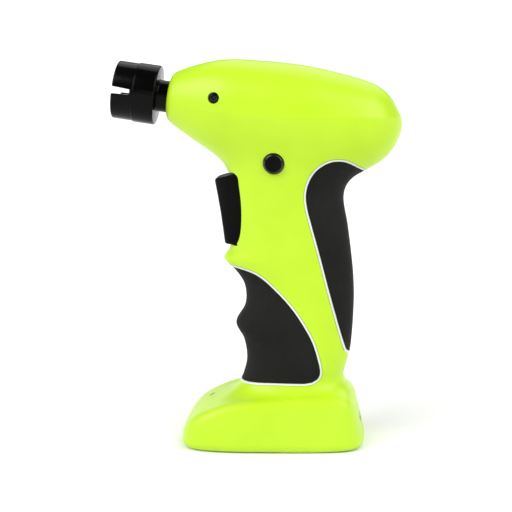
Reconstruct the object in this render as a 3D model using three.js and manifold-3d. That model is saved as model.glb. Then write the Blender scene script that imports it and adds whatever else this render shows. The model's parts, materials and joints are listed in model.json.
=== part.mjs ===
// String winder: a pistol-shaped, rechargeable motor tool that turns a slotted head over a
// guitar's tuning buttons. Millimetres, +Z up. The head points along -X, the battery foot
// stands on z = 0, and the two half shells meet on y = 0 (left half on the -Y side).

import * as THREE from 'three';
import { mergeVertices } from 'three/addons/utils/BufferGeometryUtils.js';
import Module from 'manifold-3d';

const wasm = await Module();
wasm.setup();

// ---------- driving dimensions ----------

const SEAM_GAP = 0.1;            // each half shell stops this far from y = 0
const WALL = 2.6;                // shell wall
const POCKET_DEPTH = 1.5;        // recess in the shell for the rubber grips
const RUBBER = 1.3;              // rubber thickness
const TRIM_WIDTH = 0.8;          // pale line round each grip
const FIT_GAP = 0.15;            // gap between shell, trim and rubber
const BEYOND = 60;               // reach of cutting tools past the body, each way

const AXIS_TILT = THREE.MathUtils.degToRad(8.2);   // drive line drops toward the rear
const NOSE_X = -48.6;
const NOSE_Z = 152.3;
const NOSE_OPENING = 7.3;

const HEAD_FRONT = -23.3;        // stations on the drive line are measured back from the nose
const HEAD_REAR = -4.6;
const HEAD_RADIUS = 12.9;
const HEAD_TIP_RADIUS = 12.55;
const HUB_RADIUS = 6.85;
const SOCKET_RADIUS = 10.3;
const SOCKET_DEPTH = 13;
const SLOT_WIDTH = 2.8;
const SLOT_DEPTH = 8;
const SLOT_TURN = THREE.MathUtils.degToRad(-1.5);    // how far the head is turned as it stands

const SPINDLE_RADIUS = 3;
const GEAR_MODULE = 0.55;
const SUN_TEETH = 12;
const PLANET_TEETH = 15;
const RING_TEETH = 42;
const PLANETS = 3;
const RING_OUTER = 13.5;
const PIN_RADIUS = 1.1;
const GEAR_WIDTH = 7;

const MOTOR_RADIUS = 13.8;
const MOTOR_FRONT = 43.2;
const MOTOR_LENGTH = 37.8;
const SHAFT_RADIUS = 1.15;

const TRIGGER_HALF_WIDTH = 9;
const TRIGGER_PIN = { x: -14.5, z: 92, radius: 1.5 };
const BUTTON = { x: -1.55, z: 125.2, radius: 4.5, proud: 1.6, travel: 3 };

const CELL_RADIUS = 9.2;         // one 18650 cell stands in the grip
const CELL_LENGTH = 65;
const CELL_X = 7;
const CELL_BOTTOM = 25.5;

const RAYS = 24;                 // points round each level section of the body
const INNER_RAYS = 16;

// ---------- colours ----------

const finish = (color, roughness, metalness = 0) => ({ color, roughness, metalness });
const LIME = finish(0xc8f53a, 0.42);
const RUBBER_BLACK = finish(0x242422, 0.85);
const PALE_LINE = finish(0xe1e8de, 0.5);
const GLOSS_BLACK = finish(0x0c0c0c, 0.25);
const SATIN_BLACK = finish(0x141614, 0.5);
const STEEL = finish(0xb4b6b8, 0.3, 1);
const BLACK_STEEL = finish(0x1c1c1d, 0.4, 1);
const BRASS = finish(0xb08d4a, 0.35, 1);
const WHITE_NYLON = finish(0xd9d7cc, 0.55);
const BOARD_GREEN = finish(0x1f5c3a, 0.5);
const CELL_WRAP = finish(0x2d5f9e, 0.4);
const LENS = finish(0xdfe6df, 0.2);
const RED_LEAD = finish(0xb3221c, 0.5);
const BLACK_LEAD = finish(0x19191a, 0.5);

// ---------- curves and fields that define the body ----------

// Smooth curve through (t, value) points, read at one t.
function through(points, t) {
  const last = points.length - 1;
  if (t <= points[0][0]) return points[0][1];
  if (t >= points[last][0]) return points[last][1];
  let i = 0;
  while (t > points[i + 1][0]) i += 1;
  const slope = (k) => {
    const a = points[Math.max(k - 1, 0)];
    const b = points[Math.min(k + 1, last)];
    return (b[1] - a[1]) / (b[0] - a[0]);
  };
  const [t0, v0] = points[i];
  const [t1, v1] = points[i + 1];
  const h = t1 - t0;
  const u = (t - t0) / h;
  const u2 = u * u;
  const u3 = u2 * u;
  return (2 * u3 - 3 * u2 + 1) * v0 + (u3 - 2 * u2 + u) * h * slope(i)
    + (3 * u2 - 2 * u3) * v1 + (u3 - u2) * h * slope(i + 1);
}

// Even points along a smooth curve through 2-D points.
function curvePoints(points, count) {
  const curve = new THREE.CatmullRomCurve3(
    points.map(([x, y]) => new THREE.Vector3(x, y, 0)), false, 'centripetal');
  return curve.getSpacedPoints(count).map((p) => [p.x, p.y]);
}

// Signed distance to a closed outline: negative inside.
function outlineDistance(outline, x, y) {
  let best = Infinity;
  let inside = false;
  for (let i = 0, j = outline.length - 1; i < outline.length; j = i, i += 1) {
    const [ax, ay] = outline[j];
    const [bx, by] = outline[i];
    const ex = bx - ax;
    const ey = by - ay;
    const share = ((x - ax) * ex + (y - ay) * ey) / (ex * ex + ey * ey || 1);
    const t = Math.min(Math.max(share, 0), 1);
    best = Math.min(best, (x - ax - t * ex) ** 2 + (y - ay - t * ey) ** 2);
    if ((ay > y) !== (by > y) && x < ex * (y - ay) / ey + ax) inside = !inside;
  }
  return (inside ? -1 : 1) * Math.sqrt(best);
}

function smoothUnion(a, b, radius) {
  const h = Math.max(radius - Math.abs(a - b), 0) / radius;
  return Math.min(a, b) - h * h * radius / 4;
}

function smoothCommon(a, b, radius) {
  return -smoothUnion(-a, -b, radius);
}

// Barrel radius against distance behind the nose face; its axis lies a little above the drive line.
const BARREL_RISE = 0.3;
const BARREL_PROFILE = curvePoints([
  [0.3, 8.2], [0.8, 9.7], [2.2, 11.1], [8, 14.2], [16, 17.6], [24.4, 19.8], [38, 21.1],
  [52, 21.8], [62, 21.6], [72, 20.7], [81, 19.6], [87.7, 18.2], [94, 14.8], [98.3, 9.9],
  [100.5, 4.4], [101.2, 0],
], 48);
const BARREL_OUTLINE = [
  ...BARREL_PROFILE,
  ...BARREL_PROFILE.slice(0, -1).reverse().map(([s, r]) => [s, -r]),
];

// Grip front and rear edges and half width against height.
const GRIP_FRONT = [
  [20, -16.8], [27.8, -16.4], [37, -14.4], [46.2, -15.7], [53.4, -19.2], [60.8, -15.4],
  [66, -14.7], [71.6, -15.8], [77, -19.5], [81.2, -23.9], [82.4, -24.6], [83.6, -24.1],
  [87.5, -21.8], [100, -22], [118, -22.4], [128, -24.5], [140, -28],
];
const GRIP_REAR = [
  [20, 27.6], [29.3, 28.3], [37, 30.2], [43.9, 31.7], [62, 32.8], [72.8, 32.6], [83.4, 31.6],
  [97.5, 29.7], [109, 27.8], [116, 29.2], [124, 32], [132, 37.5], [140, 43],
];
const GRIP_HALF_WIDTH = [[20, 15.4], [45, 15.8], [75, 15.4], [100, 15.8], [125, 17], [140, 17]];
const GRIP_SQUARENESS = 2.35;
const GRIP_TOP = 140;
const GRIP_FOOT = 6;

// Side profile of the foot, and its plan at floor level.
const FLOOR = -0.05;              // the foot's field ends just below the flat cut at z = 0
const FOOT_OUTLINE = [
  ...curvePoints([
    [-41.2, FLOOR], [-43.4, 1.7], [-42.9, 5.4], [-40.4, 10.2], [-36.3, 14.1], [-30, 17.6],
    [-22.6, 20.6], [-14, 22.2], [-4, 22.9],
  ], 22),
  ...curvePoints([
    [24, 23.6], [29.9, 23.3], [32.8, 21.1], [34.8, 15], [37.3, 7], [39.1, 2.4], [37.1, FLOOR],
  ], 14),
];
const FOOT_PLAN_SIDE = curvePoints([
  [-43.9, 0], [-43.4, 10], [-41.4, 18], [-37.7, 22.8], [-32, 25], [-24, 26], [-14, 26],
  [0, 25.1], [14, 23.7], [26, 22.2], [32, 20.3], [36.2, 16.6], [39, 9], [39.6, 0],
], 30);
const FOOT_PLAN = [
  ...FOOT_PLAN_SIDE,
  ...FOOT_PLAN_SIDE.slice(1, -1).reverse().map(([x, y]) => [x, -y]),
];
const FOOT_DRAFT = 0.05;          // the foot's sides lean inward with height
const FOOT_EDGE = 4.5;
const FOOT_FILLET = 9;
const BARREL_FILLET = 9.5;

const cosTilt = Math.cos(AXIS_TILT);
const sinTilt = Math.sin(AXIS_TILT);

function barrelField(x, y, z) {
  const station = (x - NOSE_X) * cosTilt - (z - NOSE_Z) * sinTilt;
  const height = (x - NOSE_X) * sinTilt + (z - NOSE_Z) * cosTilt - BARREL_RISE;
  return outlineDistance(BARREL_OUTLINE, station, Math.hypot(height, y));
}

function gripField(x, y, z) {
  const front = through(GRIP_FRONT, z);
  const rear = through(GRIP_REAR, z);
  const halfLength = (rear - front) / 2;
  const halfWidth = through(GRIP_HALF_WIDTH, z);
  const along = Math.abs(x - (front + rear) / 2) / halfLength;
  const across = Math.abs(y) / halfWidth;
  const size = (along ** GRIP_SQUARENESS + across ** GRIP_SQUARENESS) ** (1 / GRIP_SQUARENESS);
  return Math.max((size - 1) * halfWidth, z - GRIP_TOP, GRIP_FOOT - z);
}

function footField(x, y, z) {
  const side = outlineDistance(FOOT_OUTLINE, x, z);
  const plan = outlineDistance(FOOT_PLAN, x, Math.abs(y) + FOOT_DRAFT * z);
  return smoothCommon(side, plan, FOOT_EDGE);
}

function bodyField(x, y, z) {
  const lower = smoothUnion(gripField(x, y, z), footField(x, y, z), FOOT_FILLET);
  return smoothUnion(lower, barrelField(x, y, z), BARREL_FILLET);
}

// Distance from a start point inside the body to the surface at the given depth.
function reach(x, z, dirX, dirY, depth) {
  const step = 1.5;
  const value = (t) => bodyField(x + dirX * t, dirY * t, z) + depth;
  let near = 0;
  let far = step;
  while (value(far) < 0) {
    near = far;
    far += step;
  }
  for (let i = 0; i < 14; i += 1) {
    const mid = (near + far) / 2;
    if (value(mid) < 0) near = mid;
    else far = mid;
  }
  return near;
}

const flank = (x, z, depth = 0) => reach(x, z, 0, 1, depth);

// ---------- solids ----------

function toSolid(geometry) {
  const bare = geometry.clone();
  bare.deleteAttribute('normal');
  bare.deleteAttribute('uv');
  const merged = mergeVertices(bare, 1e-4);
  return new wasm.Manifold(new wasm.Mesh({
    numProp: 3,
    vertProperties: new Float32Array(merged.attributes.position.array),
    triVerts: new Uint32Array(merged.index.array),
  }));
}

function toGeometry(solid) {
  const data = solid.getMesh();
  const geometry = new THREE.BufferGeometry();
  geometry.setAttribute('position', new THREE.BufferAttribute(data.vertProperties, 3));
  geometry.setIndex(new THREE.BufferAttribute(data.triVerts, 1));
  return geometry;
}

// A line well inside the body, x against z, from which each level's ring is found.
const SPINE = [[0, 2], [118, 3], [130, -5], [169, -20]];

// Body cut at the levels given, each a ring of points on the field's surface at one depth.
function bodyAt(levels, depth, rays = RAYS) {
  const positions = [];
  for (const z of levels) {
    const start = through(SPINE, z);
    const front = reach(start, z, -1, 0, depth);
    const rear = reach(start, z, 1, 0, depth);
    const middle = start + (rear - front) / 2;
    const halfLength = (front + rear) / 2;
    const halfWidth = reach(middle, z, 0, 1, depth);
    for (let i = 0; i < rays; i += 1) {
      const turn = 2 * Math.PI * i / rays;
      const dx = halfLength * Math.cos(turn);
      const dy = halfWidth * Math.sin(turn);
      const size = Math.hypot(dx, dy);
      const t = reach(middle, z, dx / size, dy / size, depth);
      positions.push(middle + dx / size * t, dy / size * t, z);
    }
  }
  const index = [];
  const at = (level, i) => level * rays + i % rays;
  for (let k = 0; k < levels.length - 1; k += 1) {
    for (let i = 0; i < rays; i += 1) {
      index.push(at(k, i), at(k, i + 1), at(k + 1, i + 1));
      index.push(at(k, i), at(k + 1, i + 1), at(k + 1, i));
    }
  }
  const top = levels.length - 1;
  for (let i = 1; i < rays - 1; i += 1) {
    index.push(at(0, 0), at(0, i + 1), at(0, i));
    index.push(at(top, 0), at(top, i), at(top, i + 1));
  }
  const geometry = new THREE.BufferGeometry();
  geometry.setAttribute('position', new THREE.Float32BufferAttribute(positions, 3));
  geometry.setIndex(index);
  return toSolid(geometry);
}

const shapeOf = (points) => new THREE.Shape(points.map(([a, b]) => new THREE.Vector2(a, b)));

// Side outline (x, z) carried across the body from y = low to y = high.
function sidePrism(points, low = -BEYOND, high = BEYOND) {
  const ordered = THREE.ShapeUtils.isClockWise(points.map(([a, b]) => new THREE.Vector2(a, b)))
    ? [...points].reverse() : points;
  const geometry = new THREE.ExtrudeGeometry(shapeOf(ordered), {
    depth: high - low, bevelEnabled: false,
  });
  geometry.rotateX(Math.PI / 2);
  geometry.translate(0, high, 0);
  return toSolid(geometry);
}

function box(xRange, yRange, zRange) {
  const geometry = new THREE.BoxGeometry(
    xRange[1] - xRange[0], yRange[1] - yRange[0], zRange[1] - zRange[0]);
  geometry.translate(
    (xRange[0] + xRange[1]) / 2, (yRange[0] + yRange[1]) / 2, (zRange[0] + zRange[1]) / 2);
  return geometry;
}

// Closed turned shape from (radius, station) points, its axis along +Z.
function turned(profile, segments = 24) {
  const geometry = new THREE.LatheGeometry(
    profile.map(([r, s]) => new THREE.Vector2(r, s)), segments);
  geometry.rotateX(Math.PI / 2);
  return geometry;
}

const disc = (radius, low, high, segments = 24) => turned(
  [[0, low], [radius, low], [radius, high], [0, high]], segments);

const tube = (inner, outer, low, high, segments = 24) => turned(
  [[inner, low], [outer, low], [outer, high], [inner, high], [inner, low]], segments);

// Round bar along Y between two y values, at a place in the side view.
function crossBar(radius, x, z, low, high, segments = 16) {
  const geometry = new THREE.CylinderGeometry(radius, radius, high - low, segments);
  geometry.translate(x, (low + high) / 2, z);
  return geometry;
}

// Closed outline moved outward by a distance.
function grown(outline, distance) {
  const vectors = outline.map(([a, b]) => new THREE.Vector2(a, b));
  const side = THREE.ShapeUtils.isClockWise(vectors) ? -1 : 1;
  return outline.map(([x, z], i) => {
    const [px, pz] = outline[(i + outline.length - 1) % outline.length];
    const [nx, nz] = outline[(i + 1) % outline.length];
    const dx = nx - px;
    const dz = nz - pz;
    const size = Math.hypot(dx, dz) * side;
    return [x + dz / size * distance, z - dx / size * distance];
  });
}

const object = new THREE.Group();

// Frame of the drive line: local X up, local Y toward the left side, local Z rearward.
const driveLine = new THREE.Group();
driveLine.applyMatrix4(new THREE.Matrix4().makeBasis(
  new THREE.Vector3(sinTilt, 0, cosTilt),
  new THREE.Vector3(0, -1, 0),
  new THREE.Vector3(cosTilt, 0, -sinTilt),
).setPosition(NOSE_X, 0, NOSE_Z));
object.add(driveLine);

function add(name, shape, look, parent = object) {
  const geometry = shape.isBufferGeometry ? shape : toGeometry(shape);
  const mesh = new THREE.Mesh(geometry, new THREE.MeshStandardMaterial(look));
  mesh.name = name;
  parent.add(mesh);
  return mesh;
}

// A drive-line shape expressed in the object's own frame, for cutting the shells.
function fromDriveLine(geometry) {
  driveLine.updateMatrix();
  return toSolid(geometry.clone().applyMatrix4(driveLine.matrix));
}

// ---------- grip regions in the side view ----------

const FRONT_REGION = [
  ...curvePoints([
    [-38, 79.2], [-22, 78.9], [-15.5, 78.3], [-8.7, 76.1], [-0.1, 69.1], [6.5, 61.9],
    [11.3, 54.8], [15.1, 47.7], [17.4, 40.6], [18.6, 34.2], [17.9, 31.5], [15.3, 29.8],
  ], 18),
  ...curvePoints([[12, 29.3], [-2, 29.2], [-14, 28.3], [-38, 26.6]], 3),
];
const REAR_REGION = [
  ...curvePoints([
    [50, 111], [41, 118], [34.8, 122.4], [29.5, 125.4], [26, 126.1], [21.7, 125.4],
    [16.4, 121.9], [13.3, 116.8], [12.2, 111.3], [12.9, 105.3], [14.2, 100.3],
  ], 16),
  [21.3, 74], [27.8, 50.2], [29.9, 43.2],
  ...curvePoints([[31.1, 41.6], [34, 40.4], [50, 38]], 4),
];

// ---------- body shells ----------

const OUTER_LEVELS = [
  0, 1, 2.6, 6, 11, 15.5, 19, 21.6, 23.2, 24.4, 25.8, 28.5, 37, 45, 50, 53.5, 57, 61.5, 69, 75,
  79, 82.3, 85, 87.5, 96, 108, 115, 120, 125, 131, 138, 145, 152, 158, 163, 166.3, 168, 168.65,
];
const SKIN_LEVELS = OUTER_LEVELS.filter((z) => z > 20 && z < 133);
const CAVITY_LEVELS = [
  2.7, 4, 9, 14, 18.5, 21, 23, 28, 37, 46, 54, 62, 75, 83, 100, 116,
  124, 132, 140, 148, 156, 162, 165.6,
];

const outer = bodyAt(OUTER_LEVELS, 0);
const pocketFloor = bodyAt(SKIN_LEVELS, POCKET_DEPTH, INNER_RAYS);
const rubberBack = bodyAt(SKIN_LEVELS, RUBBER, INNER_RAYS);
const cavity = bodyAt(CAVITY_LEVELS, WALL, INNER_RAYS);
const bossLimit = bodyAt(CAVITY_LEVELS, (WALL + POCKET_DEPTH) / 2, INNER_RAYS);

const halfSpace = (low, high) => toSolid(box(
  [-2 * BEYOND, 2 * BEYOND], [low, high], [-BEYOND, 4 * BEYOND]));
const leftSpace = halfSpace(-BEYOND, -SEAM_GAP);
const rightSpace = halfSpace(SEAM_GAP, BEYOND);

// ---------- rubber grips and their pale border lines ----------

const regions = { front: FRONT_REGION, rear: REAR_REGION };
const TRIM_OUTSIDE = FIT_GAP + TRIM_WIDTH;
const POCKET_GROWTH = TRIM_OUTSIDE + FIT_GAP;

for (const [place, region] of Object.entries(regions)) {
  const rubber = sidePrism(region).intersect(outer).subtract(rubberBack);
  const band = sidePrism(grown(region, TRIM_OUTSIDE)).subtract(sidePrism(grown(region, FIT_GAP)));
  const trim = band.intersect(outer).subtract(rubberBack);
  add(`${place}_grip_left`, rubber.intersect(leftSpace), RUBBER_BLACK);
  add(`${place}_grip_right`, rubber.intersect(rightSpace), RUBBER_BLACK);
  add(`${place}_trim_left`, trim.intersect(leftSpace), PALE_LINE);
  add(`${place}_trim_right`, trim.intersect(rightSpace), PALE_LINE);
}

// ---------- trigger, its pin and spring ----------

const OPENING_TOP = 120.4;
const OPENING_BOTTOM = 87.4;
const TRIGGER_CHANNEL = TRIGGER_HALF_WIDTH + 0.4;
const OPENING = [
  [-BEYOND, OPENING_TOP], [-BEYOND, OPENING_BOTTOM],
  ...curvePoints([
    [-19.2, OPENING_BOTTOM], [-17, 89], [-15.7, 94], [-15.3, 101], [-15.7, 108],
    [-16.7, 114.5], [-17.6, 119], [-19.4, OPENING_TOP],
  ], 12),
];
const TRIGGER_BACK = -9;
const TRIGGER_FRONT = { x: -23.8, z: 88, lean: -0.159, round: 4.5, corner: 0.6, bow: 0.3 };
const TRIGGER_SIDE = [
  [-28.3, 116.4], [-23.5, 89.2], [-23, 88.4], [-12, 88.4], [-11, 89.4], [-11, 118],
  [-12, 119.2], [-19.5, 119.6], [-27.4, 117.7],
];

// Bar with a bowed front, leaning forward toward the top, that gives the trigger its plan.
function triggerPlan() {
  const { x, z, lean, round, corner, bow } = TRIGGER_FRONT;
  const side = TRIGGER_HALF_WIDTH;
  const outline = new THREE.Shape();
  outline.moveTo(TRIGGER_BACK, -side);
  outline.lineTo(TRIGGER_BACK, side);
  outline.lineTo(x + round, side);
  outline.quadraticCurveTo(x + bow, side - corner, x, 0);
  outline.quadraticCurveTo(x + bow, corner - side, x + round, -side);
  const geometry = new THREE.ExtrudeGeometry(outline, {
    depth: 36, bevelEnabled: false, curveSegments: 5,
  });
  geometry.translate(0, 0, -2);
  geometry.applyMatrix4(new THREE.Matrix4().makeShear(0, 0, 0, 0, lean, 0));
  geometry.translate(0, 0, z);
  return toSolid(geometry);
}

const PIN_CLEARANCE = 0.15;
const pinHole = toSolid(crossBar(
  TRIGGER_PIN.radius + PIN_CLEARANCE, TRIGGER_PIN.x, TRIGGER_PIN.z, -BEYOND, BEYOND));
const SPRING = { x: -14.4, z: 107.6, length: 5.6, radius: 2.1, wire: 0.6, turns: 3 };
const RECESS = 3.3;
const springRecess = toSolid(box(
  [-15, -8], [-RECESS, RECESS], [SPRING.z - RECESS, SPRING.z + RECESS]));
add('trigger', sidePrism(TRIGGER_SIDE).intersect(triggerPlan())
  .subtract(pinHole).subtract(springRecess), SATIN_BLACK);
const pinReach = flank(TRIGGER_PIN.x, TRIGGER_PIN.z, WALL) - 0.2;
add('trigger_pin', crossBar(
  TRIGGER_PIN.radius, TRIGGER_PIN.x, TRIGGER_PIN.z, -pinReach, pinReach), STEEL);

function coil(turns, radius, wire, length, stepsPerTurn = 7, sides = 2) {
  class Helix extends THREE.Curve {
    getPoint(t, target = new THREE.Vector3()) {
      const turn = 2 * Math.PI * turns * t;
      return target.set(t * length, radius * Math.cos(turn), radius * Math.sin(turn));
    }
  }
  const section = new THREE.Shape();
  section.absarc(0, 0, wire / 2, 0, 2 * Math.PI);
  return new THREE.ExtrudeGeometry(section, {
    steps: turns * stepsPerTurn, extrudePath: new Helix(), curveSegments: sides,
  });
}

const spring = add('trigger_spring', coil(
  SPRING.turns, SPRING.radius, SPRING.wire, SPRING.length), STEEL);
spring.position.set(SPRING.x, 0, SPRING.z);

// ---------- switches behind the trigger and the direction button ----------

const SPRING_POST = 2.4;
const switchBody = toSolid(box([-6.6, 3.4], [-5, 5], [94, 110]));
const springPost = toSolid(box(
  [-8.4, -3.8], [-SPRING_POST, SPRING_POST], [SPRING.z - SPRING_POST, SPRING.z + SPRING_POST]));
add('trigger_switch', switchBody.add(springPost), GLOSS_BLACK);

const BUTTON_SIDE = flank(BUTTON.x, BUTTON.z);
const BUTTON_NECK = 3.4;
const BUTTON_FACE = BUTTON_SIDE + BUTTON.proud;
const BUTTON_CHAMFER = 0.8;
const BUTTON_CAP = 7;
const barEnd = BUTTON_FACE - BUTTON_CAP;
const buttonBar = turned([
  [0, -BUTTON_FACE], [BUTTON.radius - BUTTON_CHAMFER, -BUTTON_FACE],
  [BUTTON.radius, BUTTON_CHAMFER - BUTTON_FACE], [BUTTON.radius, -barEnd],
  [BUTTON_NECK, -barEnd], [BUTTON_NECK, barEnd - BUTTON.travel],
  [BUTTON.radius, barEnd - BUTTON.travel], [BUTTON.radius, BUTTON_SIDE - BUTTON.travel],
  [BUTTON.radius - BUTTON_CHAMFER, BUTTON_FACE - BUTTON.travel], [0, BUTTON_FACE - BUTTON.travel],
], 16);
buttonBar.rotateX(-Math.PI / 2);
buttonBar.translate(BUTTON.x, 0, BUTTON.z);
add('direction_button', buttonBar, SATIN_BLACK);
add('direction_switch', box([-5.4, 3.6], [-4, 4], [112, 120.4]), GLOSS_BLACK);

// ---------- drive line: head, spindle, gearbox and motor ----------

const PRESSURE_ANGLE = THREE.MathUtils.degToRad(22);
const ADDENDUM = 0.8 * GEAR_MODULE;
const DEDENDUM = 1.1 * GEAR_MODULE;
const TOOTH_SHARE = 0.8;          // tooth thickness over half the pitch, so the mesh has play
const pitchRadius = (teeth) => GEAR_MODULE * teeth / 2;
const CENTRE_DISTANCE = pitchRadius(SUN_TEETH) + pitchRadius(PLANET_TEETH);

// Outline of straight-sided teeth between a root and a tip radius.
function gearPoints(teeth, tip, root, share) {
  const pitch = pitchRadius(teeth);
  const half = Math.PI / (2 * teeth) * share;
  const at = (radius) => half - (radius - pitch) * Math.tan(PRESSURE_ANGLE) / radius;
  const points = [];
  for (let i = 0; i < teeth; i += 1) {
    const middle = 2 * Math.PI * i / teeth;
    for (const [radius, side] of [[root, -1], [tip, -1], [tip, 1], [root, 1]]) {
      const turn = middle + side * at(radius);
      points.push([radius * Math.cos(turn), radius * Math.sin(turn)]);
    }
  }
  return points;
}

function gearBar(teeth, low, high, bore = 0) {
  const pitch = pitchRadius(teeth);
  const shape = shapeOf(gearPoints(teeth, pitch + ADDENDUM, pitch - DEDENDUM, TOOTH_SHARE));
  if (bore > 0) {
    const hole = new THREE.Path();
    hole.absarc(0, 0, bore, 0, 2 * Math.PI, true);
    shape.holes.push(hole);
  }
  const geometry = new THREE.ExtrudeGeometry(shape, {
    depth: high - low, bevelEnabled: false, curveSegments: 6,
  });
  geometry.translate(0, 0, low);
  return geometry;
}

// Winder head: a slotted cup on a hub, screwed to the end of the spindle.
const socketFloor = HEAD_FRONT + SOCKET_DEPTH;
const SCREW_HEAD = { radius: 2.8, depth: 1.8 };
const SCREW_HOLE = 1.3;
const SPINDLE_TIP = HEAD_REAR - 4;
const HUB_END = 3.4;
const HUB_BORE = SPINDLE_RADIUS + 0.15;
const HEAD_STEP = HEAD_FRONT + 9.2;      // the cup is a little fuller behind this station
const MOUTH_CHAMFER = 0.7;
const EDGE_ROUND = 1;
const headBody = toSolid(turned([
  [SCREW_HOLE, socketFloor], [SOCKET_RADIUS, socketFloor],
  [SOCKET_RADIUS, HEAD_FRONT + MOUTH_CHAMFER], [SOCKET_RADIUS + MOUTH_CHAMFER, HEAD_FRONT],
  [HEAD_TIP_RADIUS - EDGE_ROUND, HEAD_FRONT], [HEAD_TIP_RADIUS, HEAD_FRONT + EDGE_ROUND],
  [HEAD_TIP_RADIUS, HEAD_STEP - 0.2], [HEAD_RADIUS, HEAD_STEP], [HEAD_RADIUS, HEAD_REAR],
  [HUB_RADIUS, HEAD_REAR], [HUB_RADIUS, HUB_END], [HUB_BORE, HUB_END],
  [HUB_BORE, SPINDLE_TIP - 0.2], [SCREW_HOLE, SPINDLE_TIP - 0.2], [SCREW_HOLE, socketFloor],
], 26));
const slot = toSolid(new THREE.BoxGeometry(SLOT_WIDTH, BEYOND, 2 * SLOT_DEPTH)
  .translate(0, 0, HEAD_FRONT).rotateZ(SLOT_TURN));
add('winder_head', headBody.subtract(slot), GLOSS_BLACK, driveLine);

// Cross recess for a screw whose head starts at z = 0.
function crossRecess(size, depth) {
  const arm = toSolid(new THREE.BoxGeometry(size, size / 4, depth));
  return arm.add(toSolid(new THREE.BoxGeometry(size / 4, size, depth)));
}

function screw(headRadius, headDepth, shankRadius, length) {
  const body = toSolid(turned([
    [0, 0], [headRadius * 0.8, 0], [headRadius, headDepth * 0.35], [headRadius, headDepth],
    [shankRadius, headDepth], [shankRadius, length], [0, length],
  ], 12));
  return toGeometry(body.subtract(crossRecess(headRadius * 1.2, headDepth)));
}

const THREAD_RADIUS = 1.15;
const headScrew = add('head_screw', screw(
  SCREW_HEAD.radius, SCREW_HEAD.depth, THREAD_RADIUS, SCREW_HEAD.depth + 5), BLACK_STEEL, driveLine);
headScrew.position.z = socketFloor - SCREW_HEAD.depth - 0.1;

// Stations of the two planetary stages.
const STAGE_TWO = { carrier: 17.4, plate: 1.6, gear: 19.6 };
const STAGE_ONE = { carrier: 28, plate: 1.6, gear: 30.2 };
const CARRIER_RADIUS = 10;
const RING_LOW = 17;
const RING_HIGH = 41;

// Carrier plate with a pin for each planet.
function carrierPins(stage) {
  let solid = null;
  for (let k = 0; k < PLANETS; k += 1) {
    const turn = 2 * Math.PI * k / PLANETS;
    const pin = toSolid(disc(PIN_RADIUS, stage.carrier + 0.4, stage.gear + GEAR_WIDTH + 0.4, 10)
      .translate(CENTRE_DISTANCE * Math.cos(turn), CENTRE_DISTANCE * Math.sin(turn), 0));
    solid = solid ? solid.add(pin) : pin;
  }
  return solid;
}

const spindle = toSolid(turned([
  [0, SPINDLE_TIP], [SPINDLE_RADIUS, SPINDLE_TIP], [SPINDLE_RADIUS, STAGE_TWO.carrier],
  [CARRIER_RADIUS, STAGE_TWO.carrier], [CARRIER_RADIUS, STAGE_TWO.carrier + STAGE_TWO.plate],
  [0, STAGE_TWO.carrier + STAGE_TWO.plate],
], 20)).add(carrierPins(STAGE_TWO));
const spindleThread = toSolid(disc(SCREW_HOLE, SPINDLE_TIP - 1, SPINDLE_TIP + 6, 14));
add('output_spindle', spindle.subtract(spindleThread), STEEL, driveLine);

const stageOneCarrier = toSolid(disc(
  CARRIER_RADIUS, STAGE_ONE.carrier, STAGE_ONE.carrier + STAGE_ONE.plate, 20))
  .add(carrierPins(STAGE_ONE))
  .add(toSolid(gearBar(SUN_TEETH, STAGE_TWO.gear + 0.2, STAGE_ONE.carrier + 0.4)));
add('stage_one_carrier', stageOneCarrier, STEEL, driveLine);

for (const [stageName, stage] of [['stage_two', STAGE_TWO], ['stage_one', STAGE_ONE]]) {
  for (let k = 0; k < PLANETS; k += 1) {
    const turn = 2 * Math.PI * k / PLANETS;
    const planet = add(`${stageName}_planet_${k + 1}`, gearBar(
      PLANET_TEETH, stage.gear, stage.gear + GEAR_WIDTH, PIN_RADIUS + PIN_CLEARANCE,
    ), WHITE_NYLON, driveLine);
    planet.position.set(CENTRE_DISTANCE * Math.cos(turn), CENTRE_DISTANCE * Math.sin(turn), 0);
    planet.rotation.z = turn;
  }
}

function ringGear() {
  const pitch = pitchRadius(RING_TEETH);
  const shape = new THREE.Shape();
  shape.absarc(0, 0, RING_OUTER, 0, 2 * Math.PI);
  const spaces = gearPoints(RING_TEETH, pitch + DEDENDUM, pitch - ADDENDUM, 2 - TOOTH_SHARE);
  shape.holes.push(new THREE.Path(spaces.reverse().map(([a, b]) => new THREE.Vector2(a, b))));
  const geometry = new THREE.ExtrudeGeometry(shape, {
    depth: RING_HIGH - RING_LOW, bevelEnabled: false, curveSegments: 14,
  });
  return geometry.translate(0, 0, RING_LOW);
}

// A lug on the ring gear takes the short screw that shows on the left flank near the nose.
const NOSE_SCREW = { x: -26.8, z: 152.75, headRadius: 2.4, headDepth: 1.2, sunk: 0.9, length: 4.8 };
const noseFlank = flank(NOSE_SCREW.x, NOSE_SCREW.z);
const screwStation = (NOSE_SCREW.x - NOSE_X) * cosTilt - (NOSE_SCREW.z - NOSE_Z) * sinTilt;
const screwHeight = (NOSE_SCREW.x - NOSE_X) * sinTilt + (NOSE_SCREW.z - NOSE_Z) * cosTilt;
const LUG = { half: 2.6, inner: RING_OUTER - 1, outer: noseFlank - 5.2 };
const lug = toSolid(box(
  [screwHeight - LUG.half, screwHeight + LUG.half], [LUG.inner, LUG.outer],
  [screwStation - LUG.half, screwStation + LUG.half]));
const lugHole = toSolid(crossBar(1.4, screwHeight, screwStation, LUG.inner + 0.6, BEYOND, 10));
add('ring_gear', toSolid(ringGear()).add(lug).subtract(lugHole), SATIN_BLACK, driveLine);

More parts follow.
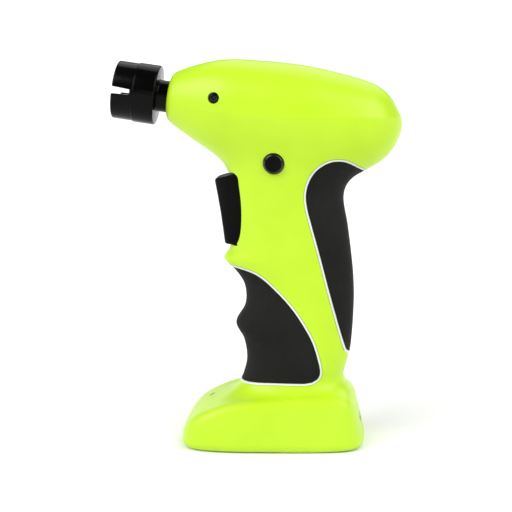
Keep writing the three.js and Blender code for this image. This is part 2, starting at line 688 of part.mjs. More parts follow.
const BUSHING = { low: 5.6, high: 13.2, radius: 6 };
add('front_bushing', tube(
  SPINDLE_RADIUS + 0.06, BUSHING.radius, BUSHING.low, BUSHING.high, 16), BRASS, driveLine);
const FRONT_PLATE = { low: 13.5, high: 16.7, collar: 7, bore: 4 };
const collarInner = BUSHING.radius + FIT_GAP;
add('gearbox_front_plate', turned([
  [collarInner, FRONT_PLATE.collar], [collarInner + 1.45, FRONT_PLATE.collar],
  [collarInner + 1.45, FRONT_PLATE.low], [RING_OUTER - 0.9, FRONT_PLATE.low],
  [RING_OUTER - 0.9, FRONT_PLATE.high], [FRONT_PLATE.bore, FRONT_PLATE.high],
  [FRONT_PLATE.bore, FRONT_PLATE.low], [collarInner, FRONT_PLATE.low],
  [collarInner, FRONT_PLATE.collar],
], 18), SATIN_BLACK, driveLine);
const PLATE_GAP = 0.3;
add('motor_plate', tube(
  4, RING_OUTER, RING_HIGH + PLATE_GAP, MOTOR_FRONT - PLATE_GAP, 18), STEEL, driveLine);

const MOTOR_REAR = MOTOR_FRONT + MOTOR_LENGTH;
const CAN_WALL = 0.9;
const CAN_FACE = 1.2;
const CAN_HOLE = 3;
const canInside = MOTOR_RADIUS - CAN_WALL;
add('motor_can', turned([
  [CAN_HOLE, MOTOR_FRONT], [MOTOR_RADIUS, MOTOR_FRONT], [MOTOR_RADIUS, MOTOR_REAR],
  [canInside, MOTOR_REAR], [canInside, MOTOR_FRONT + CAN_FACE],
  [CAN_HOLE, MOTOR_FRONT + CAN_FACE], [CAN_HOLE, MOTOR_FRONT],
], 24), STEEL, driveLine);

const ROTOR = { radius: 9.6, front: MOTOR_FRONT + 6, rear: MOTOR_REAR - 9 };
const COMMUTATOR = { radius: 4, rear: MOTOR_REAR - 3 };
const MAGNETS = { inner: 10.3, outer: canInside - 0.3, margin: 5 };
add('motor_magnets', tube(
  MAGNETS.inner, MAGNETS.outer, MOTOR_FRONT + MAGNETS.margin, MOTOR_REAR - MAGNETS.margin, 16,
), GLOSS_BLACK, driveLine);
add('motor_rotor', turned([
  [0, STAGE_ONE.gear], [SHAFT_RADIUS, STAGE_ONE.gear], [SHAFT_RADIUS, ROTOR.front],
  [ROTOR.radius, ROTOR.front], [ROTOR.radius, ROTOR.rear], [COMMUTATOR.radius, ROTOR.rear],
  [COMMUTATOR.radius, COMMUTATOR.rear], [SHAFT_RADIUS, COMMUTATOR.rear],
  [SHAFT_RADIUS, MOTOR_REAR + 2.5], [0, MOTOR_REAR + 2.5],
], 16), STEEL, driveLine);
add('motor_pinion', gearBar(
  SUN_TEETH, STAGE_ONE.gear + 0.4, RING_HIGH - 1, SHAFT_RADIUS + 0.12), BRASS, driveLine);
add('motor_endcap', tube(
  1.5, MOTOR_RADIUS - 0.3, MOTOR_REAR + PLATE_GAP, MOTOR_REAR + 4, 18), WHITE_NYLON, driveLine);

// ---------- battery, boards, charging socket, light and leads ----------

const cell = disc(CELL_RADIUS, 0, CELL_LENGTH, 24);
cell.translate(CELL_X, 0, CELL_BOTTOM);
add('battery_cell', cell, CELL_WRAP);
const STRIP = { halfLength: 4, halfWidth: 3, thickness: 0.4, gap: 0.2 };
const strip = (low) => box(
  [CELL_X - STRIP.halfLength, CELL_X + STRIP.halfLength], [-STRIP.halfWidth, STRIP.halfWidth],
  [low, low + STRIP.thickness]);
add('cell_strip_bottom', strip(CELL_BOTTOM - STRIP.gap - STRIP.thickness), STEEL);
add('cell_strip_top', strip(CELL_BOTTOM + CELL_LENGTH + STRIP.gap), STEEL);

const BOARD = { low: 7, high: 8.6 };
add('control_board', box([9, 10.6], [-9, 9], [94, 120]), BOARD_GREEN);
add('charge_board', box([-26, 29.4], [-12, 12], [BOARD.low, BOARD.high]), BOARD_GREEN);

// A USB-C socket: a thin steel shell open to the rear, with a tongue on its back wall.
const USB = { rear: 36.3, depth: 7.4, low: BOARD.high + 0.3, height: 3.3, width: 9, wall: 0.35 };
const USB_BACK = 0.6;
const USB_TONGUE = { half: 3.3, thick: 0.35, short: 1.2 };
const usbFront = USB.rear - USB.depth;
const usbZ = USB.low + USB.height / 2;
// Box round the socket's centre line, from one x to another, with margins outside its shell.
const usbBox = (from, to, margin) => toSolid(box(
  [from, to], [-USB.width / 2 - margin, USB.width / 2 + margin],
  [USB.low - margin, USB.low + USB.height + margin]));
const usbTongue = toSolid(box(
  [usbFront + USB_BACK / 2, USB.rear - USB_TONGUE.short], [-USB_TONGUE.half, USB_TONGUE.half],
  [usbZ - USB_TONGUE.thick, usbZ + USB_TONGUE.thick]));
add('usb_c_socket', usbBox(usbFront, USB.rear, 0)
  .subtract(usbBox(usbFront + USB_BACK, USB.rear + 1, -USB.wall)).add(usbTongue), STEEL);

// Round light on the toe, tipped to lie in the sloping skin.
const LIGHT = { x: -31.2, y: 8, z: 16.4, radius: 1.3, tilt: -0.66 };
const lightBar = (radius, low, high) => disc(radius, low, high, 12)
  .applyMatrix4(new THREE.Matrix4().makeRotationY(LIGHT.tilt).setPosition(LIGHT.x, LIGHT.y, LIGHT.z));
add('charge_light', lightBar(LIGHT.radius, -2.6, 0.1), LENS);

function lead(points, radius = 0.75) {
  const curve = new THREE.CatmullRomCurve3(points.map((p) => new THREE.Vector3(...p)));
  const section = new THREE.Shape();
  section.absarc(0, 0, radius, 0, 2 * Math.PI);
  return new THREE.ExtrudeGeometry(section, {
    steps: 10, extrudePath: curve, curveSegments: 3,
  });
}
const LEAD_START = { station: MOTOR_REAR + 5.2, height: -5 };
const leadX = NOSE_X + LEAD_START.station * cosTilt + LEAD_START.height * sinTilt;
const leadZ = NOSE_Z - LEAD_START.station * sinTilt + LEAD_START.height * cosTilt;
for (const [color, side, look] of [['red', 1, RED_LEAD], ['black', -1, BLACK_LEAD]]) {
  const y = 3 * side;
  add(`motor_lead_${color}`, lead([
    [leadX, y, leadZ], [leadX + 1, y, leadZ - 5], [leadX - 3, y, leadZ - 10],
    [22, y, 122.4], [13, y, 121.4], [11.8, y, 118],
  ]), look);
  const out = 10.6 * side;
  add(`battery_lead_${color}`, lead([
    [7, out, 93], [4, out, 80], [3.6, out, 60], [3.6, out, 40],
    [4, out * 0.9, 22], [4, out * 0.9, 9.6],
  ], 0.7), look);
}

// ---------- shells with their openings, bosses and screws ----------

const BOSS_RADIUS = 3.2;
const SCREW = { headRadius: 2.6, headDepth: 1.9, shank: 1.2, hole: 1.6, length: 15, sunk: 4.4 };
const SCREW_PLACES = [[41, 146], [19, 116], [22.4, 33], [-15.6, 82.9], [-29.5, 8.2], [30.5, 17.4]];

const SOCKET_GAP = 0.3;
let skin = outer.subtract(cavity);
for (const region of Object.values(regions)) {
  skin = skin.subtract(sidePrism(grown(region, POCKET_GROWTH)).subtract(pocketFloor));
}
skin = skin.subtract(sidePrism(OPENING));
skin = skin.subtract(toSolid(box(
  [-20, -8], [-TRIGGER_CHANNEL, TRIGGER_CHANNEL], [OPENING_BOTTOM, OPENING_TOP])));
skin = skin.subtract(toSolid(crossBar(BUTTON.radius + 0.3, BUTTON.x, BUTTON.z, -BEYOND, BEYOND, 20)));
skin = skin.subtract(fromDriveLine(disc(NOSE_OPENING, -5, 4.5, 24)));
skin = skin.subtract(usbBox(usbFront - 0.6, BEYOND, SOCKET_GAP));
skin = skin.subtract(toSolid(lightBar(LIGHT.radius + 0.2, -6, 4)));

let left = skin.intersect(leftSpace);
let right = skin.intersect(rightSpace);
const BOSS_GAP = 0.3;
const HEAD_GAP = 0.25;
SCREW_PLACES.forEach(([x, z], i) => {
  const bar = (radius, low, high, sides = 8) => toSolid(crossBar(radius, x, z, low, high, sides));
  const skinAt = flank(x, z);
  const headSeat = skinAt - SCREW.sunk;
  left = left.add(bar(BOSS_RADIUS, -BEYOND, -BOSS_GAP).intersect(bossLimit));
  left = left.subtract(bar(SCREW.shank + PIN_CLEARANCE, headSeat - SCREW.length - 1, 1));
  right = right.add(bar(BOSS_RADIUS, BOSS_GAP, BEYOND).intersect(bossLimit));
  right = right.subtract(bar(SCREW.hole, -1, skinAt));
  right = right.subtract(bar(SCREW.headRadius + HEAD_GAP, headSeat - SCREW.headDepth, BEYOND, 12));
  const fastener = add(`housing_screw_${i + 1}`, screw(
    SCREW.headRadius, SCREW.headDepth, SCREW.shank, SCREW.length), BLACK_STEEL);
  fastener.rotation.x = Math.PI / 2;
  fastener.position.set(x, headSeat, z);
});

// Short screw near the nose, sunk in the left flank over a boss that meets the lug.
const noseSeat = NOSE_SCREW.sunk - noseFlank;
const NOSE_BOSS = { radius: 3.6, skin: 1.6 };
const noseBar = (radius, low, high, segments = 14) => toSolid(
  crossBar(radius, NOSE_SCREW.x, NOSE_SCREW.z, low, high, segments));
left = left.add(noseBar(NOSE_BOSS.radius, NOSE_BOSS.skin - noseFlank, -LUG.outer - 0.2));
left = left.subtract(noseBar(
  NOSE_SCREW.headRadius + HEAD_GAP, -BEYOND, noseSeat + NOSE_SCREW.headDepth, 18));
left = left.subtract(noseBar(SCREW.hole, -BEYOND, 0, 10));
const noseScrew = add('nose_screw', screw(
  NOSE_SCREW.headRadius, NOSE_SCREW.headDepth, SCREW.shank, NOSE_SCREW.length), BLACK_STEEL);
noseScrew.rotation.x = -Math.PI / 2;
noseScrew.position.set(NOSE_SCREW.x, noseSeat, NOSE_SCREW.z);

add('housing_left', left, LIME);
add('housing_right', right, LIME);

export default object;
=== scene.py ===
"""Looks of the string winder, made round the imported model, which is loaded first and never moved.

Shapes are worked out in millimetres and turned to metres as each piece is finished. +Z is up, the head
points along -X, and the left half of the body is on the -Y side.
"""

import json
import math

import bpy
import numpy as np
from mathutils import Matrix, Vector


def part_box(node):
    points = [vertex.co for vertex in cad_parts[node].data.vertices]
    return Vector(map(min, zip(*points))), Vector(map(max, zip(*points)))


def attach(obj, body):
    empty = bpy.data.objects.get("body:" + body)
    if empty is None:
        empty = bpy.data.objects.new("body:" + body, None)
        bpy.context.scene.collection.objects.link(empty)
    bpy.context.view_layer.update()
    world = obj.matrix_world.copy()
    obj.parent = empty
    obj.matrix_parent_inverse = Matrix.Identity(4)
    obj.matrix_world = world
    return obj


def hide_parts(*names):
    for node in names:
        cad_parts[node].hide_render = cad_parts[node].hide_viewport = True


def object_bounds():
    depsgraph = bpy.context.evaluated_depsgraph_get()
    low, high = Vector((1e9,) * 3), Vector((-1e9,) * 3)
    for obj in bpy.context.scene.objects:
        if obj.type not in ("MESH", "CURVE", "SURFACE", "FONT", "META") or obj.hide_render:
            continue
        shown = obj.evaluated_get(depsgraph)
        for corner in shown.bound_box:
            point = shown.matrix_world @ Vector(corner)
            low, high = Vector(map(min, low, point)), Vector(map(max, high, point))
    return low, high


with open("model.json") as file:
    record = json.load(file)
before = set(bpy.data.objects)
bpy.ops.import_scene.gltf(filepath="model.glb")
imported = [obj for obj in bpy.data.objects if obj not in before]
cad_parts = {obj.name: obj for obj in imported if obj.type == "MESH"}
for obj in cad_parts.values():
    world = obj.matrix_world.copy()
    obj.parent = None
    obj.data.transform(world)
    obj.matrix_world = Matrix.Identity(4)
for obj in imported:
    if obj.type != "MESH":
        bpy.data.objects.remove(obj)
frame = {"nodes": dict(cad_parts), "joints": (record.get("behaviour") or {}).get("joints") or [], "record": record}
cad_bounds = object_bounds()

# ---------- driving dimensions, in millimetres ----------

MM = 0.001
BODY_STEP = 1.0            # spacing of the body's mesh
SEAM_GAP = 0.1             # each half shell stops this far from y = 0
WALL = 2.6
POCKET_DEPTH = 1.5
RUBBER = 1.3
TRIM_WIDTH = 0.8
TRIM_PROUD = 0.12
FIT_GAP = 0.15
BEYOND = 60.0              # reach of cutting tools past the body
HALF_SPACE_X, HALF_SPACE_TOP = 150, 240
BODY_FRONT = -52           # the body's mesh starts here, in front of the nose

# How finely shapes are made.
FINE_STEP = 0.5            # spacing of points along a curve
TABLE_STEP = 0.25          # spacing of a table of distances
SLOPE_REACH = 0.4          # how far to each side a field is read for its slope
EVENING_ROUNDS = 3         # how often the points of a mesh are evened out
CURVE_STEPS = 4            # steps round an eased corner
ROUND_END_STEPS = 10       # steps round the end of a slot
SHARP_ANGLE = 35           # degrees; edges sharper than this stay sharp
SKIN_BAND, SKIN_FACING = 0.06, 0.85    # what counts as outer skin: distance from it, and cosine to it
SMALL_SEGMENTS, LIGHT_SEGMENTS, PIN_SEGMENTS, HOLE_SEGMENTS = 24, 32, 40, 64
BUTTON_SEGMENTS, NOSE_SEGMENTS, HEAD_SEGMENTS, COVE_SEGMENTS = 72, 96, 128, 128

# Barrel radius against distance behind the nose face; its axis lies a little above the drive line.
BARREL_RISE = 0.3
BARREL_PROFILE = [
    (0.3, 8.2), (0.8, 9.7), (2.2, 11.1), (8, 14.2), (16, 17.6), (24.4, 19.8), (38, 21.1),
    (52, 21.8), (62, 21.6), (72, 20.7), (81, 19.6), (87.7, 18.2), (94, 14.8), (98.3, 9.9),
    (100.5, 4.4), (101.2, 0),
]
NOSE_OPENING, NOSE_OPENING_DEPTH, NOSE_CUT_START = 7.3, 4.5, -5

# Grip front edge, rear edge and half width, each against height.
GRIP_FRONT = [
    (20, -16.8), (27.8, -16.4), (37, -14.4), (46.2, -15.7), (53.4, -19.2), (60.8, -15.4),
    (66, -14.7), (71.6, -15.8), (77, -19.5), (81.2, -23.9), (82.4, -24.6), (83.6, -24.1),
    (87.5, -21.8), (100, -22), (118, -22.4), (128, -24.5), (140, -28),
]
GRIP_REAR = [
    (20, 27.6), (29.3, 28.3), (37, 30.2), (43.9, 31.7), (62, 32.8), (72.8, 32.6), (83.4, 31.6),
    (97.5, 29.7), (109, 27.8), (116, 29.2), (124, 32), (132, 37.5), (140, 43),
]
GRIP_HALF_WIDTH = [(20, 15.4), (45, 15.8), (75, 15.4), (100, 15.8), (125, 17), (140, 17)]
GRIP_SQUARENESS = 2.35
GRIP_FOOT, GRIP_TOP = 6, 140

# Side profile of the foot, its plan at floor level, and how its parts blend.
FLOOR = -0.05
FOOT_TOE = [
    (-41.2, FLOOR), (-43.4, 1.7), (-42.9, 5.4), (-40.4, 10.2), (-36.3, 14.1), (-30, 17.6),
    (-22.6, 20.6), (-14, 22.2), (-4, 22.9),
]
FOOT_HEEL = [
    (24, 23.6), (29.9, 23.3), (32.8, 21.1), (34.8, 15), (37.3, 7), (39.1, 2.4), (37.1, FLOOR),
]
FOOT_PLAN_SIDE = [
    (-43.9, 0), (-43.4, 10), (-41.4, 18), (-37.7, 22.8), (-32, 25), (-24, 26), (-14, 26),
    (0, 25.1), (14, 23.7), (26, 22.2), (32, 20.3), (36.2, 16.6), (39, 9), (39.6, 0),
]
FOOT_DRAFT = 0.05
FOOT_EDGE, FOOT_FILLET, BARREL_FILLET = 4.5, 9, 9.5

# Side outlines of the two grip panels.
FRONT_EDGE = [
    (-38, 79.2), (-22, 78.9), (-15.5, 78.3), (-8.7, 76.1), (-0.1, 69.1), (6.5, 61.9),
    (11.3, 54.8), (15.1, 47.7), (17.4, 40.6), (18.6, 34.2), (17.9, 31.5), (15.3, 29.8),
]
FRONT_FOOT = [(12, 29.3), (-2, 29.2), (-14, 28.3), (-38, 26.6)]
REAR_EDGE = [
    (50, 111), (41, 118), (34.8, 122.4), (29.5, 125.4), (26, 126.1), (21.7, 125.4),
    (16.4, 121.9), (13.3, 116.8), (12.2, 111.3), (12.9, 105.3), (14.2, 100.3),
    (17.6, 88), (21.3, 74), (24.7, 61.5), (27.8, 50.2), (29.9, 43.2),
]
REAR_FOOT = [(31.1, 41.6), (34, 40.4), (50, 38)]
EDGE_STEP, FRONT_FOOT_STEP, REAR_FOOT_STEP = 1.2, 3, 2

# Trigger opening, trigger and the hidden recess behind it that clears the spring.
OPENING_BOTTOM, OPENING_TOP = 88.5, 120.4
OPENING_REAR = [
    (-20.6, OPENING_BOTTOM), (-18.6, 89.2), (-17.6, 90.2), (-16.4, 94), (-15.8, 101), (-16, 108),
    (-16.8, 114.5), (-17.6, 119), (-19.4, OPENING_TOP),
]
CHANNEL_FRONT, CHANNEL_REAR = -20, -8
TRIGGER_HALF_WIDTH = 9
TRIGGER_GAP = 0.4
TRIGGER_SIDE = [
    (-28.4, 116.6), (-26.8, 109.5), (-25.6, 103), (-24.7, 96), (-24.1, 89.5), (-23.6, 89),
    (-12, 89), (-11, 90), (-11, 118), (-12, 119.2), (-19.5, 119.6), (-27.4, 117.7),
]
TRIGGER_FRONT, TRIGGER_LEAN, TRIGGER_ROUND, TRIGGER_HEEL = -23.8, -0.159, 4.5, 88
TRIGGER_EDGE = 0.8
TRIGGER_BOW = 0.3
TRIGGER_STEP = 0.5         # spacing of the trigger's mesh
PIN_EASE = 0.3
SPRING_Z, SPRING_RECESS, SPRING_FLOOR = 107.6, 3.5, -17.8

# Direction button: its caps stand in round holes, each with a dished face and a polished rim.
BUTTON_GAP, BUTTON_HOLE_GAP = 0.1, 0.15
BUTTON_NECK, BUTTON_CAP, BUTTON_BEVEL, BUTTON_EASE = 3.4, 7, 0.8, 0.45
BUTTON_DISH_DEPTH, BUTTON_RIM = 0.35, 0.95
BUTTON_DISH = [(2.2, 0.32), (1.5, 0.08)]       # (distance in from the rim, depth)

# Winder head: stations are measured back from the nose face.
HEAD_FRONT, HEAD_REAR, HEAD_STEP = -23.3, -4.6, -14.1
HEAD_EASE = 0.75
HEAD_RADIUS, HEAD_TIP_RADIUS = 12.9, 12.55
HUB_RADIUS, HUB_END, HUB_BORE = 6.85, 3.4, 3.15
SOCKET_RADIUS, SOCKET_DEPTH = 10.3, 13
SLOT_WIDTH, SLOT_DEPTH, SLOT_TURN = 2.8, 8, -1.5
SLOT_MOUTH, SLOT_MOUTH_DEPTH = 0.8, 0.35       # extra width and depth of its chamfered mouth
SLOT_FLARE, SLOT_TAPER, SLOT_EASE = 0.1, 0.3, 0.4
SPINDLE_TIP, SPINDLE_GAP = HEAD_REAR - 4, 0.2
HEAD_SCREW_HOLE = 1.3

# Screws: their heads and shanks, and the holes and bosses round them. The dome and the cross recess
# are shares of the head's depth and radius.
SCREWS = [f"housing_screw_{i}" for i in range(1, 7)]
SCREW_HEAD_RADIUS, SCREW_HEAD_DEPTH = 2.6, 1.9
SCREW_SHANK = 1.2
SCREW_HOLE_GAP = 0.25
NOSE_SCREW_RADIUS, NOSE_SCREW_DEPTH, NOSE_SCREW_SUNK, NOSE_SCREW_TURN = 2.2, 1.2, 0.9, 20
HEAD_SCREW_RADIUS, HEAD_SCREW_DEPTH, HEAD_SCREW_SHANK, HEAD_SCREW_LENGTH = 2.8, 1.8, 1.15, 6.8
HEAD_SCREW_SEAT = 1.9
SCREW_DOME, SCREW_CHAMFER, SCREW_TIP = 0.45, 0.15, 0.3
CROSS_REACH, CROSS_HALF_WIDTH, CROSS_BOTTOM, CROSS_DEPTH = 0.68, 0.17, 0.5, 0.95
THREAD_PITCH, THREAD_CREST, THREAD_RUNOUT = 0.8, 0.16, 1.5
BOSS_RADIUS, BOSS_GAP = 3.7, 0.3
NOSE_BOSS_RADIUS, NOSE_BOSS_START, NOSE_BOSS_END = 3.8, 1.6, 5.4
THREAD_HOLE, CLEAR_HOLE = 1.35, 1.6

# Charging socket and charge light.
SOCKET_GAP, SOCKET_BACK_GAP, SOCKET_WALL = 0.3, 0.6, 0.35
TONGUE_HALF_WIDTH, TONGUE_HALF_HEIGHT, TONGUE_START, TONGUE_END = 3.3, 0.35, 0.3, 1.2
LIGHT_HOLE = [(0, -6), (1.5, -6), (1.5, 4), (0, 4)]
LENS = [(0, -2.4), (1.3, -2.4), (1.3, 0.05), (1.1, 0.25), (0.6, 0.38), (0, 0.42)]


# ---------- curves and distance fields ----------

def spaced(points, step):
    """Evenly spaced points on a centripetal Catmull-Rom curve through 2-D points."""
    knots = np.array(points, float)
    knots = np.vstack([2 * knots[0] - knots[1], knots, 2 * knots[-1] - knots[-2]])
    dense = []
    for k in range(len(knots) - 3):
        p = knots[k:k + 4]
        gaps = np.linalg.norm(np.diff(p, axis=0), axis=1) ** 0.5
        t = np.concatenate([[0], np.cumsum(gaps)])
        u = np.linspace(t[1], t[2], 60, endpoint=k == len(knots) - 4)[:, None]
        level = [
            ((t[i + 1] - u) * p[i] + (u - t[i]) * p[i + 1]) / (t[i + 1] - t[i]) for i in range(3)
        ]
        pair = [
            ((t[i + 2] - u) * level[i] + (u - t[i]) * level[i + 1]) / (t[i + 2] - t[i])
            for i in range(2)
        ]
        dense.append(((t[2] - u) * pair[0] + (u - t[1]) * pair[1]) / (t[2] - t[1]))
    dense = np.vstack(dense)
    along = np.concatenate([[0], np.cumsum(np.linalg.norm(np.diff(dense, axis=0), axis=1))])
    stops = np.linspace(0, along[-1], max(int(along[-1] / step), 2) + 1)
    return np.column_stack([np.interp(stops, along, dense[:, i]) for i in range(2)])


def through(points, t):
    """Smooth curve through (t, value) points, read at an array of t."""
    x, v = np.array(points, float).T
    slope = np.empty(len(v))
    slope[1:-1] = (v[2:] - v[:-2]) / (x[2:] - x[:-2])
    slope[0] = (v[1] - v[0]) / (x[1] - x[0])
    slope[-1] = (v[-1] - v[-2]) / (x[-1] - x[-2])
    t = np.clip(t, x[0], x[-1])
    i = np.clip(np.searchsorted(x, t, side="right") - 1, 0, len(x) - 2)
    h = x[i + 1] - x[i]
    u = (t - x[i]) / h
    return (
        (2 * u**3 - 3 * u**2 + 1) * v[i] + (u**3 - 2 * u**2 + u) * h * slope[i]
        + (3 * u**2 - 2 * u**3) * v[i + 1] + (u**3 - u**2) * h * slope[i + 1]
    )


def outline_distance(outline, x, y):
    """Signed distance to a closed outline, negative inside."""
    best = np.full(x.shape, np.inf)
    inside = np.zeros(x.shape, bool)
    for (ax, ay), (bx, by) in zip(np.roll(outline, 1, axis=0), outline):
        ex, ey = bx - ax, by - ay
        length = ex * ex + ey * ey
        if length == 0:
            continue
        t = np.clip(((x - ax) * ex + (y - ay) * ey) / length, 0, 1)
        best = np.minimum(best, (x - ax - t * ex) ** 2 + (y - ay - t * ey) ** 2)
        if ay != by:
            inside ^= ((ay > y) != (by > y)) & (x < ex * (y - ay) / ey + ax)
    return np.where(inside, -1, 1) * np.sqrt(best)


def distance_table(outline, margin=13):
    """The signed distance to an outline, kept in a fine table and read by bilinear interpolation."""
    low = outline.min(axis=0) - margin
    high = outline.max(axis=0) + margin
    xs, ys = (np.arange(low[i], high[i] + TABLE_STEP, TABLE_STEP) for i in range(2))
    table = outline_distance(outline, *np.meshgrid(xs, ys, indexing="ij"))

    def read(x, y):
        i = np.clip((x - low[0]) / TABLE_STEP, 0, len(xs) - 1.001)
        j = np.clip((y - low[1]) / TABLE_STEP, 0, len(ys) - 1.001)
        a, b = i.astype(int), j.astype(int)
        u, w = i - a, j - b
        near = table[a, b] * (1 - w) + table[a, b + 1] * w
        far = table[a + 1, b] * (1 - w) + table[a + 1, b + 1] * w
        return near * (1 - u) + far * u

    return read


def smooth_union(a, b, radius):
    h = np.maximum(radius - np.abs(a - b), 0) / radius
    return np.minimum(a, b) - h * h * radius / 4


def smooth_common(a, b, radius):
    return -smooth_union(-a, -b, radius)


spin = next(joint for joint in frame["joints"] if joint["name"] == "winder_spin")
NOSE = np.array(spin["pos_m"]) / MM
BACKWARD = np.array(spin["axis"])              # along the drive line, from the head to the rear
UPWARD = np.array([-BACKWARD[2], 0, BACKWARD[0]])
DRIVE_LINE = Matrix((
    (UPWARD[0], 0, BACKWARD[0], NOSE[0]),
    (0, -1, 0, 0),
    (UPWARD[2], 0, BACKWARD[2], NOSE[2]),
    (0, 0, 0, 1),
))

profile = spaced(BARREL_PROFILE, FINE_STEP)
barrel_distance = distance_table(np.vstack([profile, profile[-2::-1] * (1, -1)]))
foot_outline = np.vstack([spaced(FOOT_TOE, FINE_STEP), spaced(FOOT_HEEL, FINE_STEP)])
foot_distance = distance_table(foot_outline)
foot_side = spaced(FOOT_PLAN_SIDE, FINE_STEP)
foot_plan_distance = distance_table(np.vstack([foot_side, foot_side[-2:0:-1] * (1, -1)]))


def barrel_field(x, y, z):
    station = (x - NOSE[0]) * BACKWARD[0] + (z - NOSE[2]) * BACKWARD[2]
    height = (x - NOSE[0]) * UPWARD[0] + (z - NOSE[2]) * UPWARD[2] - BARREL_RISE
    return barrel_distance(station, np.hypot(height, y))


def grip_field(x, y, z):
    front, rear = through(GRIP_FRONT, z), through(GRIP_REAR, z)
    half_width = through(GRIP_HALF_WIDTH, z)
    along = np.abs(x - (front + rear) / 2) / ((rear - front) / 2)
    across = np.abs(y) / half_width
    size = (along**GRIP_SQUARENESS + across**GRIP_SQUARENESS) ** (1 / GRIP_SQUARENESS)
    return np.maximum.reduce([(size - 1) * half_width, z - GRIP_TOP, GRIP_FOOT - z])


def foot_field(x, y, z):
    plan = foot_plan_distance(x, np.abs(y) + FOOT_DRAFT * z)
    return smooth_common(foot_distance(x, z), plan, FOOT_EDGE)


def body_field(x, y, z):
    lower = smooth_union(grip_field(x, y, z), foot_field(x, y, z), FOOT_FILLET)
    return smooth_union(lower, barrel_field(x, y, z), BARREL_FILLET)


def gradient(field, points):
    """Slope of a field at each point."""
    slopes = []
    for axis in range(3):
        shift = np.zeros(3)
        shift[axis] = SLOPE_REACH
        rise = field(*(points + shift).T) - field(*(points - shift).T)
        slopes.append(rise / (2 * SLOPE_REACH))
    return np.column_stack(slopes)


# ---------- meshes ----------

def make(name, points, faces):
    mesh = bpy.data.meshes.new(name)
    mesh.from_pydata([tuple(p) for p in points], [], [tuple(f) for f in faces])
    mesh.update()
    piece = bpy.data.objects.new(name, mesh)
    bpy.context.scene.collection.objects.link(piece)
    return piece


def surface_net(value, low, step):
    """Points and quads of the surface where a grid of values passes through zero."""
    total = np.zeros(value.shape + (3,))
    hits = np.zeros(value.shape)
    crossings = []
    for axis in range(3):
        first = tuple(slice(0, -1) if k == axis else slice(None) for k in range(3))
        second = tuple(slice(1, None) if k == axis else slice(None) for k in range(3))
        before, after = value[first], value[second]
        crossed = (before < 0) != (after < 0)
        place = np.argwhere(crossed)
        point = place.astype(float)
        point[:, axis] += before[crossed] / (before[crossed] - after[crossed])
        cells = []
        for back_b, back_c in ((0, 0), (1, 0), (1, 1), (0, 1)):
            cell = place.copy()
            cell[:, (axis + 1) % 3] -= back_b
            cell[:, (axis + 2) % 3] -= back_c
            np.add.at(total, tuple(cell.T), point)
            np.add.at(hits, tuple(cell.T), 1)
            cells.append(cell)
        crossings.append((cells, before[crossed] < 0))
    used = hits > 0
    index = np.zeros(value.shape, int)
    index[used] = np.arange(used.sum())
    quads = []
    for cells, leaving in crossings:
        ring = np.column_stack([index[tuple(cell.T)] for cell in cells])
        ring[~leaving] = ring[~leaving][:, ::-1]
        quads.append(ring)
    points = total[used] / hits[used][:, None] * step + low
    return points, np.vstack(quads)


def settled(points, quads, field):
    """The points evened out along the surface, then moved onto it."""
    pairs = np.vstack([quads[:, [i, (i + 1) % 4]] for i in range(4)])
    for _ in range(EVENING_ROUNDS):
        total = np.zeros_like(points)
        hits = np.zeros(len(points))
        np.add.at(total, pairs[:, 0], points[pairs[:, 1]])
        np.add.at(hits, pairs[:, 0], 1)
        slope = gradient(field, points)
        size = (slope**2).sum(axis=1)
        drift = total / hits[:, None] - points
        drift -= slope * ((drift * slope).sum(axis=1) / size)[:, None]
        points = points + 0.5 * drift
        points = points - slope * (field(*points.T) / size)[:, None]
    return points


def field_solid(name, field, low, high, step):
    """Closed mesh of the space where a field is negative."""
    axes = [np.arange(low[i], high[i] + step, step) for i in range(3)]
    value = field(*np.meshgrid(*axes, indexing="ij"))
    points, quads = surface_net(value, np.array(low), step)
    return make(name, settled(points, quads, field), quads)


def body_solid(name, depth, step):
    """The body shape, moved inward by a depth and cut flat at the floor."""
    low = np.array(cad_bounds[0]) / MM - 3
    high = np.array(cad_bounds[1]) / MM + 3
    low[0] = BODY_FRONT
    low[1] = -math.ceil(-low[1])       # so that the mesh is the same on both sides
    solid = field_solid(name, lambda x, y, z: body_field(x, y, z) + depth, low, high, step)
    for vertex in solid.data.vertices:
        vertex.co.z = max(vertex.co.z, 0)
    return solid


def combine(piece, tool, operation):
    """Joins, cuts or keeps the common part, and removes the tool."""
    modifier = piece.modifiers.new("shape", "BOOLEAN")
    modifier.solver = "MANIFOLD"
    modifier.operation = operation
    modifier.object = tool
    shaped = piece.evaluated_get(bpy.context.evaluated_depsgraph_get())
    mesh = bpy.data.meshes.new_from_object(shaped)
    piece.modifiers.clear()
    piece.data = mesh
    bpy.data.objects.remove(tool)
    return piece


def cut(piece, tool):
    return combine(piece, tool, "DIFFERENCE")


def join(piece, tool):
    return combine(piece, tool, "UNION")


def common(piece, tool):
    return combine(piece, tool, "INTERSECT")


def copy(piece):
    twin = piece.copy()
    twin.data = piece.data.copy()
    bpy.context.scene.collection.objects.link(twin)
    return twin


def between(first, second):
    """Closed bar between two matching end outlines."""
    count = len(first)
    ends = [tuple(range(count))[::-1], tuple(range(count, 2 * count))]
    sides = [(i, (i + 1) % count, count + (i + 1) % count, count + i) for i in range(count)]
    return make("tool", [*first, *second], ends + sides)


def prism(outline, low=-BEYOND, high=BEYOND):
    """Side outline (x, z) carried across from y = low to y = high."""
    outline = np.array(outline, float)
    area = np.cross(outline, np.roll(outline, -1, axis=0)).sum()
    if area > 0:
        outline = outline[::-1]
    return between([(x, low, z) for x, z in outline], [(x, high, z) for x, z in outline])


def block(x_range, y_range, z_range):
    (x0, x1), (z0, z1) = x_range, z_range
    return prism([(x0, z0), (x1, z0), (x1, z1), (x0, z1)], *y_range)


